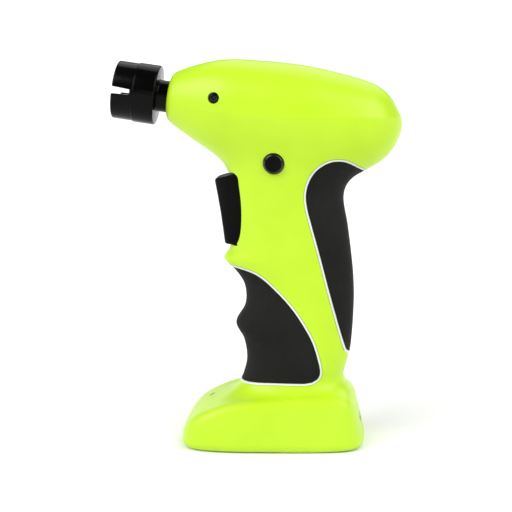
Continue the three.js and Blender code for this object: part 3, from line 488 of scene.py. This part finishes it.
def turned(name, outline, segments=HOLE_SEGMENTS, matrix=Matrix()):
    """Shape turned about local Z from (radius, station) points, ends on the axis or closed on itself."""
    outline = [tuple(p) for p in outline]
    closed = outline[0] == outline[-1]
    if closed:
        outline = outline[:-1]
    points, rings = [], []
    for radius, station in outline:
        if radius == 0:
            rings.append([len(points)] * segments)
            points.append((0, 0, station))
            continue
        rings.append(list(range(len(points), len(points) + segments)))
        for i in range(segments):
            turn = 2 * math.pi * i / segments
            points.append((radius * math.cos(turn), radius * math.sin(turn), station))
    pairs = list(zip(rings, rings[1:] + (rings[:1] if closed else [])))
    if not closed:
        pairs = pairs[:len(rings) - 1]
    faces = []
    for a, b in pairs:
        for i in range(segments):
            j = (i + 1) % segments
            corners = list(dict.fromkeys((a[i], a[j], b[j], b[i])))
            if len(corners) > 2:
                faces.append(corners)
    piece = make(name, points, faces)
    piece.data.transform(matrix)
    if signed_volume(piece) < 0:
        piece.data.flip_normals()
    return piece


def signed_volume(piece):
    mesh = piece.data
    mesh.calc_loop_triangles()
    points = np.array([v.co for v in mesh.vertices])
    corners = points[[t.vertices[:] for t in mesh.loop_triangles]]
    return np.einsum("ij,ij->i", corners[:, 0], np.cross(corners[:, 1], corners[:, 2])).sum() / 6


def rod(radius, x, z, low, high, segments=HOLE_SEGMENTS):
    """Round bar along Y."""
    matrix = Matrix.Translation((x, 0, z)) @ Matrix.Rotation(-math.pi / 2, 4, "X")
    return turned("tool", [(0, low), (radius, low), (radius, high), (0, high)], segments, matrix)


def rounded(corners, radius):
    """Open outline with each inner corner cut to a curve."""
    corners = [Vector(c) for c in corners]
    points = [tuple(corners[0])]
    for before, corner, after in zip(corners, corners[1:], corners[2:]):
        reach = min(radius, (corner - before).length * 0.45, (after - corner).length * 0.45)
        start = corner + (before - corner).normalized() * reach
        end = corner + (after - corner).normalized() * reach
        for i in range(CURVE_STEPS + 1):
            t = i / CURVE_STEPS
            points.append(tuple(start * (1 - t) ** 2 + corner * 2 * t * (1 - t) + end * t * t))
    points.append(tuple(corners[-1]))
    return points


def finished(piece, name, body, look, nodes):
    """Names a piece, gives it its material and smooth shading, and lets it ride on its body."""
    piece.name = name
    piece.data.name = name
    piece.data.transform(Matrix.Scale(MM, 4))
    piece.data.materials.clear()
    piece.data.materials.append(look)
    piece.data.polygons.foreach_set("material_index", [0] * len(piece.data.polygons))
    piece.data.polygons.foreach_set("use_smooth", [True] * len(piece.data.polygons))
    piece.data.set_sharp_from_angle(angle=math.radians(SHARP_ANGLE))
    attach(piece, body)
    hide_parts(*nodes)


def shade_from_field(piece, depth=0.0):
    """Sets the shading of the outer skin from the field itself, so that no cut shows in it."""
    mesh = piece.data
    points = np.array([v.co for v in mesh.vertices]) / MM
    slope = gradient(body_field, points)
    slope /= np.linalg.norm(slope, axis=1)[:, None]
    on_skin = np.abs(body_field(*points.T) + depth) < SKIN_BAND
    normals = np.zeros((len(mesh.loops), 3))
    for face in mesh.polygons:
        ids = list(face.vertices)
        facing = slope[ids] @ np.array(face.normal)
        if on_skin[ids].all() and (facing > SKIN_FACING).all():
            normals[list(face.loop_indices)] = slope[ids]
    mesh.normals_split_custom_set(normals.tolist())


# ---------- materials ----------

# Sizes in millimetres of the clouds in a tone, and the relief and darker tone of metal.
CLOUD, METAL_CLOUD = 18, 4
METAL_RELIEF, METAL_SHADE = 0.01, 0.82


def new_material(name, color, roughness, metallic=0.0, **sockets):
    """A Principled material whose even values sit on the shader's own sockets."""
    material = bpy.data.materials.new(name)
    material.use_nodes = True
    shader = material.node_tree.nodes["Principled BSDF"]
    shader.inputs["Base Color"].default_value = (*color, 1)
    shader.inputs["Roughness"].default_value = roughness
    shader.inputs["Metallic"].default_value = metallic
    for socket, value in sockets.items():
        shader.inputs[socket.replace("_", " ")].default_value = value
    return material, shader


def noise(material, scale, detail=3):
    """Noise in the object's own space; scale is the size of a grain, in millimetres."""
    nodes, links = material.node_tree.nodes, material.node_tree.links
    place = nodes.new("ShaderNodeTexCoord")
    texture = nodes.new("ShaderNodeTexNoise")
    texture.inputs["Scale"].default_value = 1 / (scale * MM)
    texture.inputs["Detail"].default_value = detail
    links.new(place.outputs["Object"], texture.inputs["Vector"])
    return texture.outputs["Fac"]


def vary_roughness(material, shader, fac, low, high):
    spread = material.node_tree.nodes.new("ShaderNodeMapRange")
    spread.inputs["From Min"].default_value = 0.3
    spread.inputs["From Max"].default_value = 0.7
    spread.inputs["To Min"].default_value = low
    spread.inputs["To Max"].default_value = high
    material.node_tree.links.new(fac, spread.inputs["Value"])
    material.node_tree.links.new(spread.outputs["Result"], shader.inputs["Roughness"])


def vary_color(material, shader, fac, dark, light):
    ramp = material.node_tree.nodes.new("ShaderNodeValToRGB")
    ramp.color_ramp.elements[0].position = 0.3
    ramp.color_ramp.elements[0].color = (*dark, 1)
    ramp.color_ramp.elements[1].position = 0.7
    ramp.color_ramp.elements[1].color = (*light, 1)
    material.node_tree.links.new(fac, ramp.inputs["Fac"])
    material.node_tree.links.new(ramp.outputs["Color"], shader.inputs["Base Color"])


def add_bump(material, shader, fac, height):
    bump = material.node_tree.nodes.new("ShaderNodeBump")
    bump.inputs["Strength"].default_value = 1.0
    bump.inputs["Distance"].default_value = height * MM
    material.node_tree.links.new(fac, bump.inputs["Height"])
    material.node_tree.links.new(bump.outputs["Normal"], shader.inputs["Normal"])


def moulded(name, dark, light, roughness, grain, relief, **sockets):
    """Moulded plastic or rubber: faint clouding, a fine grain in the gloss and in the relief."""
    material, shader = new_material(name, light, sum(roughness) / 2, **sockets)
    vary_color(material, shader, noise(material, CLOUD), dark, light)
    fine = noise(material, grain, detail=4)
    vary_roughness(material, shader, fine, *roughness)
    add_bump(material, shader, fine, relief)
    return material


def metal(name, color, roughness, grain=0.5):
    """Metal with a fine worked surface and slightly uneven tone."""
    material, shader = new_material(name, color, sum(roughness) / 2, metallic=1.0)
    dark = tuple(METAL_SHADE * c for c in color)
    vary_color(material, shader, noise(material, METAL_CLOUD), dark, color)
    fine = noise(material, grain, detail=4)
    vary_roughness(material, shader, fine, *roughness)
    add_bump(material, shader, fine, METAL_RELIEF)
    return material


lime = moulded("lime_plastic", (0.435, 0.675, 0.009), (0.46, 0.71, 0.015), (0.34, 0.46), 0.9, 0.012,
               IOR=1.5, Specular_IOR_Level=0.3, Coat_Weight=0.2, Coat_Roughness=0.3)
rubber = moulded("grip_rubber", (0.007, 0.007, 0.0064), (0.011, 0.011, 0.0102), (0.6, 0.8), 0.55,
                 0.05, Specular_IOR_Level=0.12)
trim_white = moulded("trim_plastic", (0.63, 0.665, 0.61), (0.68, 0.715, 0.665), (0.4, 0.5), 0.8, 0.01)
control_black = moulded("control_plastic", (0.0014, 0.0018, 0.0014), (0.003, 0.0034, 0.003),
                        (0.42, 0.55), 0.6, 0.01, Specular_IOR_Level=0.06)
head_black = moulded("head_plastic", (0.0006, 0.0006, 0.0006), (0.0015, 0.0015, 0.0015),
                     (0.12, 0.18), 1.2, 0.002, IOR=1.5, Specular_IOR_Level=0.1)
rim_black = moulded("polished_rim", (0.0014, 0.0018, 0.0014), (0.003, 0.0034, 0.003),
                    (0.1, 0.16), 0.6, 0.002, Specular_IOR_Level=0.5)
switch_black = moulded("switch_plastic", (0.012, 0.012, 0.012), (0.02, 0.02, 0.02),
                       (0.4, 0.55), 0.6, 0.02)
gear_nylon = moulded("gear_nylon", (0.70, 0.68, 0.60), (0.78, 0.76, 0.69), (0.4, 0.55), 0.7, 0.01,
                     Subsurface_Weight=0.1)
plain_steel = metal("plain_steel", (0.56, 0.57, 0.58), (0.22, 0.36))
spring_steel = metal("spring_steel", (0.50, 0.51, 0.53), (0.18, 0.3), 0.3)
motor_steel = metal("motor_steel", (0.48, 0.49, 0.51), (0.28, 0.42))
screw_black = metal("black_screw", (0.030, 0.032, 0.038), (0.14, 0.24), 0.3)
brass = metal("bushing_brass", (0.62, 0.44, 0.17), (0.22, 0.36))
ferrite = moulded("magnet_ferrite", (0.022, 0.022, 0.024), (0.035, 0.035, 0.037), (0.55, 0.7), 0.4,
                  0.03)
cell_wrap = moulded("cell_wrap", (0.035, 0.13, 0.36), (0.05, 0.17, 0.43), (0.25, 0.35), 2, 0.01)
board_green = moulded("board_green", (0.010, 0.10, 0.04), (0.02, 0.15, 0.06), (0.35, 0.5), 0.5, 0.02)
red_lead = moulded("red_lead", (0.40, 0.015, 0.012), (0.47, 0.02, 0.015), (0.35, 0.45), 0.8, 0.01)
black_lead = moulded("black_lead", (0.01, 0.01, 0.01), (0.016, 0.016, 0.017), (0.35, 0.45), 0.8,
                     0.01)
light_lens = moulded("light_lens", (0.62, 0.68, 0.60), (0.75, 0.80, 0.72), (0.1, 0.2), 0.5, 0.01)

LOOKS = {
    "lime_plastic": lime, "grip_rubber": rubber, "trim_plastic": trim_white,
    "control_plastic": control_black, "head_plastic": head_black, "switch_plastic": switch_black,
    "gear_nylon": gear_nylon, "plain_steel": plain_steel, "spring_steel": spring_steel,
    "motor_steel": motor_steel, "black_screw": screw_black, "bushing_brass": brass,
    "magnet_ferrite": ferrite, "cell_wrap": cell_wrap, "board_green": board_green,
    "red_lead": red_lead, "black_lead": black_lead, "light_lens": light_lens,
}
SLOT_OF = {s["node"]: s["material_slot"] for s in frame["record"]["subparts"]}

for node, shown in frame["nodes"].items():
    shown.data.materials.clear()
    shown.data.materials.append(LOOKS[SLOT_OF[node]])


# ---------- body shells, grips and trims ----------

def grown(outline, distance):
    """Closed outline moved outward."""
    outline = np.array(outline, float)
    side = -1 if np.cross(outline, np.roll(outline, -1, axis=0)).sum() < 0 else 1
    along = np.roll(outline, -1, axis=0) - np.roll(outline, 1, axis=0)
    along /= np.linalg.norm(along, axis=1)[:, None] * side
    return outline + np.column_stack([along[:, 1], -along[:, 0]]) * distance


def half_space(side):
    across = (-BEYOND, -SEAM_GAP) if side == "left" else (SEAM_GAP, BEYOND)
    return block((-HALF_SPACE_X, HALF_SPACE_X), across, (-BEYOND, HALF_SPACE_TOP))


outer = body_solid("outer", 0.0, BODY_STEP)
proud = body_solid("proud", -TRIM_PROUD, BODY_STEP)
rubber_back = body_solid("rubber_back", RUBBER, 2 * BODY_STEP)
pocket_floor = body_solid("pocket_floor", POCKET_DEPTH, 2 * BODY_STEP)
cavity = body_solid("cavity", WALL, 2 * BODY_STEP)
boss_limit = body_solid("boss_limit", (WALL + POCKET_DEPTH) / 2, 2 * BODY_STEP)

REGIONS = {
    "front": np.vstack([spaced(FRONT_EDGE, EDGE_STEP), spaced(FRONT_FOOT, FRONT_FOOT_STEP)]),
    "rear": np.vstack([spaced(REAR_EDGE, EDGE_STEP), spaced(REAR_FOOT, REAR_FOOT_STEP)]),
}
SIDES = ("left", "right")


def make_grips():
    for place, region in REGIONS.items():
        panel = cut(common(copy(outer), prism(region)), copy(rubber_back))
        band = cut(prism(grown(region, FIT_GAP + TRIM_WIDTH)), prism(grown(region, FIT_GAP)))
        line = cut(common(copy(proud), band), copy(rubber_back))
        for side in SIDES:
            piece = common(copy(panel), half_space(side))
            finished(piece, f"{place}_grip_panel_{side}", "housing", rubber,
                     [f"{place}_grip_{side}"])
            shade_from_field(piece)
            piece = common(copy(line), half_space(side))
            finished(piece, f"{place}_edge_line_{side}", "housing", trim_white,
                     [f"{place}_trim_{side}"])
            shade_from_field(piece, -TRIM_PROUD)
        bpy.data.objects.remove(panel)
        bpy.data.objects.remove(line)


def middle(node):
    """Middle of a CAD node's box, in millimetres."""
    low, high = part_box(node)
    return (low + high) / 2 / MM


def span(node):
    """Lowest and highest corner of a CAD node's box, in millimetres."""
    low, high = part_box(node)
    return low / MM, high / MM


def light_matrix():
    """Place of the charge light, its axis square to the sloping toe."""
    centre = np.array(middle("charge_light"))
    normal = gradient(body_field, centre[None])[0]
    return Matrix.Translation(centre) @ Vector(normal).to_track_quat("Z", "Y").to_matrix().to_4x4()


def hollow_skin():
    """The body's wall with its pockets and openings, still in one."""
    skin = cut(copy(outer), copy(cavity))
    for region in REGIONS.values():
        pocket = cut(prism(grown(region, 2 * FIT_GAP + TRIM_WIDTH)), copy(pocket_floor))
        cut(skin, pocket)
    opening = [(-BEYOND, OPENING_TOP), (-BEYOND, OPENING_BOTTOM)]
    cut(skin, prism(np.vstack([opening, spaced(OPENING_REAR, 1)])))
    channel = TRIGGER_HALF_WIDTH + TRIGGER_GAP
    cut(skin, block((CHANNEL_FRONT, CHANNEL_REAR), (-channel, channel),
                    (OPENING_BOTTOM, OPENING_TOP)))
    button = middle("direction_button")
    low, high = span("direction_button")
    cut(skin, rod((high.x - low.x) / 2 + BUTTON_HOLE_GAP, button.x, button.z, -BEYOND, BEYOND))
    nose = [(0, NOSE_CUT_START), (NOSE_OPENING, NOSE_CUT_START),
            (NOSE_OPENING, NOSE_OPENING_DEPTH), (0, NOSE_OPENING_DEPTH)]
    cut(skin, turned("tool", nose, NOSE_SEGMENTS, DRIVE_LINE))
    low, high = span("usb_c_socket")
    half_height = (high.z - low.z) / 2 + SOCKET_GAP
    slot = rounded_slot(low.y - SOCKET_GAP, high.y + SOCKET_GAP, (low.z + high.z) / 2, half_height)
    cut(skin, along_x(slot, low.x - SOCKET_BACK_GAP, BEYOND))
    cut(skin, turned("tool", LIGHT_HOLE, LIGHT_SEGMENTS, light_matrix()))
    return skin


def add_screw_bosses(halves):
    for name in SCREWS:
        place = middle(name)
        low, high = span(name)
        for side, reach in (("left", (-BEYOND, -BOSS_GAP)), ("right", (BOSS_GAP, BEYOND))):
            join(halves[side], common(rod(BOSS_RADIUS, place.x, place.z, *reach), copy(boss_limit)))
        cut(halves["left"], rod(THREAD_HOLE, place.x, place.z, low.y - 1, 1, SMALL_SEGMENTS))
        cut(halves["right"], rod(CLEAR_HOLE, place.x, place.z, -1, high.y, SMALL_SEGMENTS))
        seat = high.y - SCREW_HEAD_DEPTH
        hole = SCREW_HEAD_RADIUS + SCREW_HOLE_GAP
        cut(halves["right"], rod(hole, place.x, place.z, seat, BEYOND))
    place = middle("nose_screw")
    low, high = span("nose_screw")
    flank = -low.y + NOSE_SCREW_SUNK
    join(halves["left"], rod(NOSE_BOSS_RADIUS, place.x, place.z, NOSE_BOSS_START - flank,
                             NOSE_BOSS_END - flank))
    cut(halves["left"], rod(NOSE_SCREW_RADIUS + SCREW_HOLE_GAP, place.x, place.z, -BEYOND,
                            low.y + NOSE_SCREW_DEPTH))
    cut(halves["left"], rod(CLEAR_HOLE, place.x, place.z, -BEYOND, 0, SMALL_SEGMENTS))


def make_shells():
    skin = hollow_skin()
    halves = {side: common(copy(skin), half_space(side)) for side in SIDES}
    bpy.data.objects.remove(skin)
    add_screw_bosses(halves)
    for side, half in halves.items():
        finished(half, f"body_shell_{side}", "housing", lime, [f"housing_{side}"])
        shade_from_field(half)


# ---------- charging socket ----------

def rounded_slot(low_y, high_y, z, half_height):
    """Outline (y, z) of a slot with round ends."""
    outline = []
    for end, start in ((high_y - half_height, -90), (low_y + half_height, 90)):
        for i in range(ROUND_END_STEPS + 1):
            turn = math.radians(start + 180 * i / ROUND_END_STEPS)
            outline.append((end + half_height * math.cos(turn), z + half_height * math.sin(turn)))
    return outline


def along_x(outline, low, high):
    """Outline (y, z) carried from x = low to x = high."""
    return between([(low, y, z) for y, z in outline], [(high, y, z) for y, z in outline])


def make_usb_socket():
    low, high = span("usb_c_socket")
    z = (low.z + high.z) / 2
    half_height = (high.z - low.z) / 2
    shell = along_x(rounded_slot(low.y, high.y, z, half_height), low.x, high.x)
    hollow = rounded_slot(low.y + SOCKET_WALL, high.y - SOCKET_WALL, z, half_height - SOCKET_WALL)
    cut(shell, along_x(hollow, low.x + SOCKET_BACK_GAP, high.x + 1))
    join(shell, block((low.x + TONGUE_START, high.x - TONGUE_END),
                      (-TONGUE_HALF_WIDTH, TONGUE_HALF_WIDTH),
                      (z - TONGUE_HALF_HEIGHT, z + TONGUE_HALF_HEIGHT)))
    finished(shell, "charging_socket_shell", "housing", plain_steel, ["usb_c_socket"])


def make_light():
    piece = turned("lens", LENS, PIN_SEGMENTS, light_matrix())
    finished(piece, "charge_light_lens", "housing", light_lens, ["charge_light"])


# ---------- controls ----------

trigger_edges = zip(TRIGGER_SIDE, TRIGGER_SIDE[1:] + TRIGGER_SIDE[:1])
trigger_outline = np.vstack([spaced(edge, FINE_STEP)[:-1] for edge in trigger_edges])
trigger_side = distance_table(trigger_outline, margin=6)


def trigger_field(x, y, z):
    """Side outline of the trigger, common with a plan that is bowed in front."""
    front = TRIGGER_FRONT + TRIGGER_LEAN * (z - TRIGGER_HEEL)
    share = np.clip(np.abs(y) / TRIGGER_HALF_WIDTH, 0, 1.2)
    bowed = front + TRIGGER_ROUND * share**6 + TRIGGER_BOW * share**2 - x
    plan = smooth_common(bowed, np.abs(y) - TRIGGER_HALF_WIDTH, TRIGGER_EDGE)
    return smooth_common(trigger_side(x, z), plan, TRIGGER_EDGE)


def make_trigger():
    low, high = span("trigger")
    piece = field_solid("trigger", trigger_field, np.array(low) - 2, np.array(high) + 2, TRIGGER_STEP)
    pin = middle("trigger_pin")
    low, high = span("trigger_pin")
    radius = (high.x - low.x) / 2
    cut(piece, rod(radius + FIT_GAP, pin.x, pin.z, -BEYOND, BEYOND, PIN_SEGMENTS))
    cut(piece, block((SPRING_FLOOR, CHANNEL_REAR), (-SPRING_RECESS, SPRING_RECESS),
                     (SPRING_Z - SPRING_RECESS, SPRING_Z + SPRING_RECESS)))
    finished(piece, "trigger_lever_skin", "trigger_lever", control_black,
             ["trigger"])
    bar = rounded([(0, low.y), (radius, low.y), (radius, high.y), (0, high.y)], PIN_EASE)
    matrix = Matrix.Translation((pin.x, 0, pin.z)) @ Matrix.Rotation(-math.pi / 2, 4, "X")
    piece = turned("pin", bar, PIN_SEGMENTS, matrix)
    finished(piece, "trigger_pivot_pin", "housing", plain_steel, ["trigger_pin"])


def make_button():
    low, high = span("direction_button")
    place = middle("direction_button")
    radius = (high.x - low.x) / 2 - BUTTON_GAP
    flat = radius - BUTTON_BEVEL
    cap = [(flat - 0.5, 0), (flat, 0), (radius, BUTTON_BEVEL), (radius, BUTTON_CAP)]
    dish = [(0, BUTTON_DISH_DEPTH)] + [(radius - inset, depth) for inset, depth in BUTTON_DISH]
    half = dish + rounded(cap, BUTTON_EASE) + [(BUTTON_NECK, BUTTON_CAP)]
    outline = [(r, low.y + s) for r, s in half] + [(r, high.y - s) for r, s in reversed(half)]
    matrix = Matrix.Translation((place.x, 0, place.z)) @ Matrix.Rotation(-math.pi / 2, 4, "X")
    piece = turned("button", outline, BUTTON_SEGMENTS, matrix)
    finished(piece, "direction_button_bar", "direction_slider", control_black,
             ["direction_button"])
    piece.data.materials.append(rim_black)
    for face in piece.data.polygons:
        off_axis = math.hypot(face.center.x / MM - place.x, face.center.z / MM - place.z)
        if off_axis > radius - BUTTON_RIM:
            face.material_index = 1


# ---------- winder head and screws ----------

def make_head():
    floor = HEAD_FRONT + SOCKET_DEPTH
    tip = SPINDLE_TIP - SPINDLE_GAP
    outer_side = rounded([
        (SOCKET_RADIUS, floor - 1), (SOCKET_RADIUS, HEAD_FRONT), (HEAD_TIP_RADIUS, HEAD_FRONT),
        (HEAD_TIP_RADIUS, HEAD_STEP - 0.1), (HEAD_RADIUS, HEAD_STEP + 0.1), (HEAD_RADIUS, HEAD_REAR),
        (HUB_RADIUS, HEAD_REAR), (HUB_RADIUS, HUB_END - 0.5), (HUB_RADIUS - 0.5, HUB_END),
        (HUB_BORE, HUB_END),
    ], HEAD_EASE)
    bore = [(HUB_BORE, tip), (HEAD_SCREW_HOLE, tip), (HEAD_SCREW_HOLE, floor), (SOCKET_RADIUS, floor)]
    piece = turned("head", outer_side + bore + outer_side[:1], HEAD_SEGMENTS)
    before = HEAD_FRONT - 2
    slot_floor, mouth_floor = HEAD_FRONT + SLOT_DEPTH, HEAD_FRONT + SLOT_MOUTH_DEPTH
    wide, narrow = SLOT_WIDTH / 2 + SLOT_FLARE, SLOT_WIDTH / 2 - SLOT_TAPER
    mouth = (SLOT_WIDTH + SLOT_MOUTH) / 2
    slot = [(-wide, before), (wide, before)] + rounded(
        [(wide, HEAD_FRONT), (narrow, slot_floor), (-narrow, slot_floor), (-wide, HEAD_FRONT)],
        SLOT_EASE)
    chamfer = [(-mouth, before), (mouth, before), (mouth, mouth_floor), (-mouth, mouth_floor)]
    for outline in (slot, chamfer):
        wedge = prism(outline)
        wedge.data.transform(Matrix.Rotation(math.radians(SLOT_TURN), 4, "Z"))
        cut(piece, wedge)
    piece.data.transform(DRIVE_LINE)
    finished(piece, "slotted_winder_head", "winder", head_black, ["winder_head"])


def screw(head_radius, head_depth, shank_radius, length, matrix):
    """Round-headed screw with a cross recess; its head starts at local z = 0 and it points along +Z."""
    dome = SCREW_DOME * head_depth
    head = [(head_radius * math.sin(t), dome * (1 - math.cos(t)))
            for t in np.linspace(0, math.pi / 2, 9)]
    outline = head + [(head_radius, head_depth - SCREW_CHAMFER),
                      (head_radius - SCREW_CHAMFER, head_depth), (shank_radius, head_depth)]
    root = shank_radius - THREAD_CREST
    station = head_depth + THREAD_PITCH / 2
    while station < length - THREAD_RUNOUT:
        outline += [(root, station), (shank_radius, station + THREAD_PITCH / 2)]
        station += THREAD_PITCH
    outline += [(root, station), (SCREW_TIP, length), (0, length)]
    piece = turned("screw", outline, PIN_SEGMENTS)
    arm, half = CROSS_REACH * head_radius, CROSS_HALF_WIDTH * head_radius
    tip, bottom = CROSS_BOTTOM * arm, CROSS_DEPTH * head_depth
    for turn in (0, math.pi / 2):
        wedge = prism([(-arm, -1), (arm, -1), (tip, bottom), (-tip, bottom)], -half, half)
        wedge.data.transform(Matrix.Rotation(turn, 4, "Z"))
        cut(piece, wedge)
    piece.data.transform(matrix)
    return piece


def make_screws():
    for name in SCREWS:
        place = middle(name)
        low, high = span(name)
        matrix = Matrix.Translation((place.x, high.y, place.z)) @ Matrix.Rotation(math.pi / 2, 4, "X")
        piece = screw(SCREW_HEAD_RADIUS, SCREW_HEAD_DEPTH, SCREW_SHANK, high.y - low.y, matrix)
        finished(piece, f"{name}_detailed", "housing", screw_black, [name])
    place = middle("nose_screw")
    low, high = span("nose_screw")
    tilt = Matrix.Rotation(math.radians(NOSE_SCREW_TURN), 4, "Y")
    inward = Matrix.Rotation(-math.pi / 2, 4, "X")
    matrix = Matrix.Translation((place.x, low.y, place.z)) @ tilt @ inward
    piece = screw(NOSE_SCREW_RADIUS, NOSE_SCREW_DEPTH, SCREW_SHANK, high.y - low.y, matrix)
    finished(piece, "nose_screw_detailed", "housing", screw_black, ["nose_screw"])
    matrix = DRIVE_LINE @ Matrix.Translation((0, 0, HEAD_FRONT + SOCKET_DEPTH - HEAD_SCREW_SEAT))
    piece = screw(HEAD_SCREW_RADIUS, HEAD_SCREW_DEPTH, HEAD_SCREW_SHANK, HEAD_SCREW_LENGTH, matrix)
    finished(piece, "head_screw_detailed", "winder", screw_black, ["head_screw"])


make_grips()
make_shells()
make_usb_socket()
make_light()
make_trigger()
make_button()
make_head()
make_screws()
for tool in (outer, proud, rubber_back, pocket_floor, cavity, boss_limit):
    bpy.data.objects.remove(tool)


# ---------- floor, light and camera ----------

STAGE_RADIUS, STAGE_WALL, STAGE_CURVE = 5.0, 1.4, 1.0
FLOOR_DROP = 0.0002


def make_stage():
    """Round pale cove: a floor that curves up into a low wall on every side."""
    bend = [(STAGE_RADIUS - STAGE_CURVE + STAGE_CURVE * math.sin(t),
             STAGE_CURVE * (1 - math.cos(t))) for t in np.linspace(0, math.pi / 2, 12)]
    cove = turned("cove", [(0, 0), *bend, (STAGE_RADIUS, STAGE_WALL)], COVE_SEGMENTS)
    cove.data.polygons.foreach_set("use_smooth", [True] * len(cove.data.polygons))
    cove.location.z = -FLOOR_DROP
    material, shader = new_material("cove_paper", (0.93, 0.93, 0.93), 0.95, Specular_IOR_Level=0.1)
    vary_roughness(material, shader, noise(material, 30), 0.9, 1.0)
    cove.data.materials.append(material)


SUN_SPREAD = 50
SUNS = [
    ("key_light", (-0.60, -0.47, 0.64), 2.45),
    ("fill_light", (0.66, -0.38, 0.64), 2.0),
    ("back_light", (0.15, 0.62, 0.77), 0.9),
]
SKY_STRENGTH = 0.16


def soft_sun(name, direction, strength):
    """Distant soft light that comes from a direction and fills a cone of the sky."""
    lamp = bpy.data.lights.new(name, "SUN")
    lamp.energy = strength
    lamp.angle = math.radians(SUN_SPREAD)
    lamp_object = bpy.data.objects.new(name, lamp)
    bpy.context.scene.collection.objects.link(lamp_object)
    lamp_object.location = Vector(direction)
    lamp_object.rotation_mode = "QUATERNION"
    lamp_object.rotation_quaternion = Vector(direction).to_track_quat("Z", "Y")


def make_sky():
    world = bpy.data.worlds.new("studio")
    world.use_nodes = True
    world.node_tree.nodes["Background"].inputs["Color"].default_value = (1, 1, 1, 1)
    world.node_tree.nodes["Background"].inputs["Strength"].default_value = SKY_STRENGTH
    bpy.context.scene.world = world


CAMERA_AZIMUTH, CAMERA_ELEVATION, CAMERA_DISTANCE = 5.0, 9.5, 0.565
CAMERA_TARGET = Vector((-0.0105, 0, 0.0827))
CAMERA_LENS = 90


def make_camera():
    azimuth, elevation = math.radians(CAMERA_AZIMUTH), math.radians(CAMERA_ELEVATION)
    back = Vector((math.sin(azimuth) * math.cos(elevation), -math.cos(azimuth) * math.cos(elevation),
                   math.sin(elevation)))
    data = bpy.data.cameras.new("camera")
    data.lens = CAMERA_LENS
    data.sensor_width = 36
    camera = bpy.data.objects.new("camera", data)
    bpy.context.scene.collection.objects.link(camera)
    camera.location = CAMERA_TARGET + back * CAMERA_DISTANCE
    camera.rotation_mode = "QUATERNION"
    camera.rotation_quaternion = (-back).to_track_quat("-Z", "Y")
    bpy.context.scene.camera = camera


make_stage()
make_camera()
for name, direction, strength in SUNS:
    soft_sun(name, direction, strength)
make_sky()
bpy.context.scene.view_settings.view_transform = "Standard"
